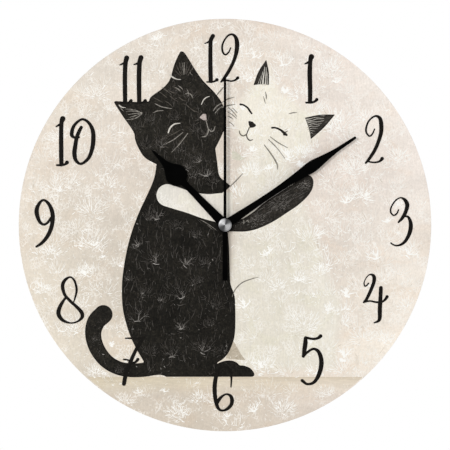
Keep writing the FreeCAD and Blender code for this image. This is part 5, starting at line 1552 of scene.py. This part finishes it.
def mat_resin():
    m = Mat("chip_resin_black", rough=0.22, spec=0.5)
    cloud = m.noise(size=1.6, warp=0.5)
    colour = m.ramp(cloud, (0.3, (10, 10, 11)), (0.7, (30, 29, 30)))
    sheen = m.ramp(m.noise(size=0.5, detail=4.0), (0.3, 0.14), (0.7, 0.4))
    return m.finish(colour, cloud, depth=0.1, rough=sheen)


def mat_solder():
    m = Mat("solder_bright", rough=0.25, metal=1.0)
    cloud = m.noise(size=0.6, detail=4.0, warp=0.4)
    colour = m.ramp(cloud, (0.3, (148, 150, 154)), (0.6, (206, 208, 212)),
                    (0.8, (176, 160, 120)))
    return m.finish(colour, cloud, depth=0.05, rough=m.ramp(cloud, (0.3, 0.18), (0.75, 0.5)))


def mat_magnet():
    m = Mat("magnet_sintered", rough=0.5, metal=0.35, spec=0.4)
    grain = m.noise(size=0.18, detail=4.0, rough=0.7)
    pits = m.voronoi(size=0.3)
    colour = m.ramp(grain, (0.3, (52, 52, 54)), (0.7, (92, 91, 90)))
    # the pits are painted dark: painted shade in them
    colour = m.mix(m.step(pits, off=0.16, on=0.05), colour, (28, 28, 29))
    return m.finish(colour, m.plus(grain, pits), depth=0.03, strength=0.6)


def mat_label():
    """A battery label of plain bands and small diamonds, with wrinkles at its ends."""
    m = Mat("cell_label_print", rough=0.32, spec=0.5)
    x, _, z = m.xyz(m.at(loc=(0.95, -7.75, -18.55)))
    streak = m.noise(size=0.5, stretch=(14, 1, 1))
    cloud = m.noise(size=7.0)
    green = m.ramp(streak, (0.3, (38, 92, 74)), (0.7, (54, 116, 94)))
    grey = m.ramp(streak, (0.3, (176, 180, 178)), (0.7, (206, 209, 206)))
    dark = m.ramp(streak, (0.3, (34, 38, 38)), (0.7, (50, 55, 54)))
    colour = m.mix(m.step(x, off=9.0, on=9.15), green, grey)
    colour = m.mix(m.step(x, off=10.6, on=10.7), colour, dark)
    for low, high in ((-17.0, -16.2), (-15.2, -14.8)):
        colour = m.mix(m.band(x, low, high, soft=0.1), colour, grey)

    def fold(value):
        """The distance from the middle of a cell, with cells 4 mm wide."""
        cell = m.calc("FRACT", m.times(m.plus(value, 40.0), 0.25))
        return m.calc("ABSOLUTE", m.calc("SUBTRACT", cell, 0.5))

    diamond = m.step(m.plus(fold(x), fold(z)), off=0.22, on=0.17)
    zone = m.band(x, low=-13.0, high=7.5, soft=0.2)
    colour = m.mix(m.times(m.times(diamond, zone), 0.5), colour, (112, 160, 138))
    colour = m.mix(0.4, colour, m.ramp(cloud, (0.3, 0.9), (0.7, 1.06)), "MULTIPLY")
    ends = m.step(m.calc("ABSOLUTE", x), off=21.0, on=24.0)
    wrinkle = m.times(m.noise(size=0.9, stretch=(3, 1, 1)), ends)
    m.bsdf.inputs["Coat Weight"].default_value = 0.25
    m.bsdf.inputs["Coat Roughness"].default_value = 0.15
    return m.finish(colour, m.plus(m.times(streak, 0.3), wrinkle), depth=0.12)


GEAR = mat_moulded("gear_natural_acetal", (214, 211, 200), (238, 236, 228), rough=0.36,
                   grain=0.45, depth=0.008, bevel=0.05, flow=0.25)
PINION = mat_moulded("pinion_natural_acetal", (196, 192, 178), (226, 222, 210), rough=0.34,
                     grain=0.4, depth=0.008, bevel=0.04)
NICKEL = mat_metal("contact_nickel_strip", (170, 168, 160), (212, 210, 202), rough=0.26,
                   size=0.3, stretch=(8, 8, 0.6), stain=(150, 140, 116), bevel=0.06)
BRASS = mat_brass()
HAND = mat_hand()

LOOKS = {
    "dial_print_film": PAPER,
    "dial_board": mat_fibreboard(),
    "foam_mounting_pad": mat_foam(),
    "movement_rear_case": mat_moulded(
        "case_black_abs", (27, 27, 28), (48, 48, 49), rough=0.5, grain=0.38, depth=0.05,
        bevel=0.34, wear_and_highlight=(132, 132, 133), spec=0.45, wear_and_highlight_share=0.95, sharp=(-18.0, 18.0, 19.6, 27.2)),
    "movement_front_case": mat_moulded(
        "case_black_abs_front", (26, 26, 27), (42, 42, 43), rough=0.5, grain=0.38, depth=0.04,
        bevel=0.2, wear_and_highlight=(74, 74, 74)),
    "middle_plate": mat_moulded(
        "plate_white_plastic", (206, 206, 200), (232, 232, 226), rough=0.45, grain=0.5,
        depth=0.02, bevel=0.12, flow=0.4),
    "hour_wheel": GEAR, "cannon_pinion": GEAR, "centre_wheel": GEAR, "motion_wheel": GEAR,
    "third_wheel": GEAR, "seconds_wheel": GEAR, "fifth_wheel": GEAR,
    "rotor_pinion": PINION, "setting_pinion": PINION,
    "clutch_washer": mat_metal(
        "washer_spring_steel", (98, 104, 116), (150, 154, 162), rough=0.3, size=0.3,
        stretch=(5, 1, 0.6), stain=(120, 96, 70)),
    "seconds_arbor": mat_metal(
        "arbor_ground_steel", (150, 152, 156), (196, 198, 202), rough=0.22, size=0.2,
        stretch=(1, 0.15, 1)),
    "rotor_magnet": mat_magnet(),
    "setting_knob": mat_moulded(
        "knob_black_acetal", (30, 30, 31), (50, 50, 51), rough=0.34, grain=0.3, depth=0.015,
        bevel=0.25, wear_and_highlight=(140, 140, 141), wear_and_highlight_share=0.9),
    "coil_bobbin": mat_moulded(
        "bobbin_amber_plastic", (172, 168, 156), (206, 202, 190), rough=0.4, grain=0.5,
        depth=0.015, bevel=0.1),
    "coil_winding": mat_winding(),
    "coil_core": mat_metal(
        "core_silicon_steel", (104, 106, 110), (152, 154, 158), rough=0.4, size=0.4,
        stretch=(9, 1, 0.5)),
    "stator_plate": mat_metal(
        "stator_silicon_steel", (96, 98, 102), (146, 148, 152), rough=0.42, size=0.4,
        stretch=(8, 1, 0.5), stain=(86, 80, 74), bevel=0.08),
    "circuit_board": mat_circuit_board(),
    "quartz_crystal": mat_metal(
        "crystal_can_tin", (168, 170, 172), (214, 216, 217), rough=0.3, size=0.3,
        stretch=(0.6, 3, 3), bevel=0.1),
    "chip_encapsulant": mat_resin(),
    "solder_joints": mat_solder(),
    "positive_contact": NICKEL, "negative_contact": NICKEL,
    "negative_contact_spring": mat_metal(
        "spring_plated_wire", (160, 160, 158), (214, 213, 210), rough=0.24, size=0.2,
        stretch=(1, 1, 1), stain=(138, 128, 108)),
    "battery_cell": mat_metal(
        "cell_nickel_steel", (160, 160, 158), (206, 206, 203), rough=0.24, size=0.3,
        stretch=(1, 4, 4), stain=(150, 146, 138), bevel=0.12),
    "battery_sleeve": mat_label(),
    "hour_hand": HAND, "minute_hand": HAND, "second_hand": HAND,
    "hour_hand_collet": BRASS, "minute_hand_collet": BRASS, "second_hand_collet": BRASS,
    "hub_cap": mat_cap(),
}
for name in NODES:
    piece = NODES[name]
    if not piece.data.materials:
        piece.data.materials.append(LOOKS[name])
    for slot in piece.material_slots:
        slot.material = LOOKS[name]


# ---------------------------------------------------------------------------
# Floor, light and camera, placed in metres
# ---------------------------------------------------------------------------
def mat_floor():
    """Pale, and fading into white far out. From underneath it is clear."""
    m = Mat("floor_pale", rough=0.9, spec=0.1)
    pale = m.ramp(m.noise(size=260.0, detail=2.0), (0.3, (232, 232, 231)), (0.7, (240, 240, 239)))
    m.put(m.bsdf.inputs["Base Color"], pale)
    x, y, _ = m.xyz()
    far = m.step(m.hypot(x, y), off=450.0, on=1500.0)
    seen = m.node("LightPath").outputs["Is Camera Ray"]
    white = m.node("Emission", {"Color": (1, 1, 1, 1)}).outputs[0]
    top = m.node("MixShader", {0: m.times(far, seen), 1: m.bsdf.outputs[0], 2: white})
    under = m.node("NewGeometry").outputs["Backfacing"]
    clear = m.node("BsdfTransparent").outputs[0]
    both = m.node("MixShader", {0: under, 1: top.outputs[0], 2: clear})
    m.put(m.out.inputs[0], both.outputs[0])
    return m.mat


def add_floor(half=1.6, z=-0.6):
    mesh = bpy.data.meshes.new("studio_floor")
    corners = [(-half, -half, z), (half, -half, z), (half, half, z), (-half, half, z)]
    mesh.from_pydata(corners, [], [(0, 1, 2, 3)])
    floor = bpy.data.objects.new("studio_floor", mesh)
    bpy.context.scene.collection.objects.link(floor)
    mesh.materials.append(mat_floor())


def add_world():
    """White to the camera, a softer glow to everything else."""
    world = bpy.data.worlds.new("studio")
    scene.world = world
    world.use_nodes = True
    nodes, links = world.node_tree.nodes, world.node_tree.links
    nodes.clear()
    out = nodes.new("ShaderNodeOutputWorld")
    mixer = nodes.new("ShaderNodeMixShader")
    path = nodes.new("ShaderNodeLightPath")
    links.new(path.outputs["Is Camera Ray"], mixer.inputs[0])
    looks = (((1.0, 0.997, 0.99, 1), 0.61), ((1, 1, 1, 1), 1.0))
    for place, (colour, strength) in enumerate(looks, start=1):
        background = nodes.new("ShaderNodeBackground")
        background.inputs["Color"].default_value = colour
        background.inputs["Strength"].default_value = strength
        links.new(background.outputs[0], mixer.inputs[place])
    links.new(mixer.outputs[0], out.inputs[0])


def add_light(name, location, size, power):
    """A square light that faces the origin."""
    light = bpy.data.lights.new(name, "AREA")
    light.shape = "SQUARE"
    light.size = size
    light.energy = power
    light.color = (1, 1, 1)
    lamp = bpy.data.objects.new(name, light)
    scene.collection.objects.link(lamp)
    lamp.location = location
    aim = Vector((0, 0, 0)) - Vector(location)
    lamp.rotation_euler = aim.to_track_quat("-Z", "Y").to_euler()


def add_camera():
    """A long lens, straight in front of the dial."""
    lens = bpy.data.cameras.new("camera")
    lens.lens = 200.0
    lens.sensor_width = 36.0
    lens.clip_start = 0.01
    camera = bpy.data.objects.new("camera", lens)
    scene.collection.objects.link(camera)
    camera.location = (0.0, -1.4767, 0.0)
    camera.rotation_euler = (math.pi / 2, 0.0, 0.0)
    scene.camera = camera


scene = bpy.context.scene
add_floor()
scene.view_settings.view_transform = "Standard"
scene.view_settings.look = "None"
scene.view_settings.exposure = 0.0
scene.view_settings.gamma = 1.0
add_world()
add_light("key_soft", location=(-0.50, -1.50, 0.20), size=0.30, power=8.6)
add_light("back_fill", location=(0.8, 1.0, 1.0), size=0.7, power=14.0)
add_camera()
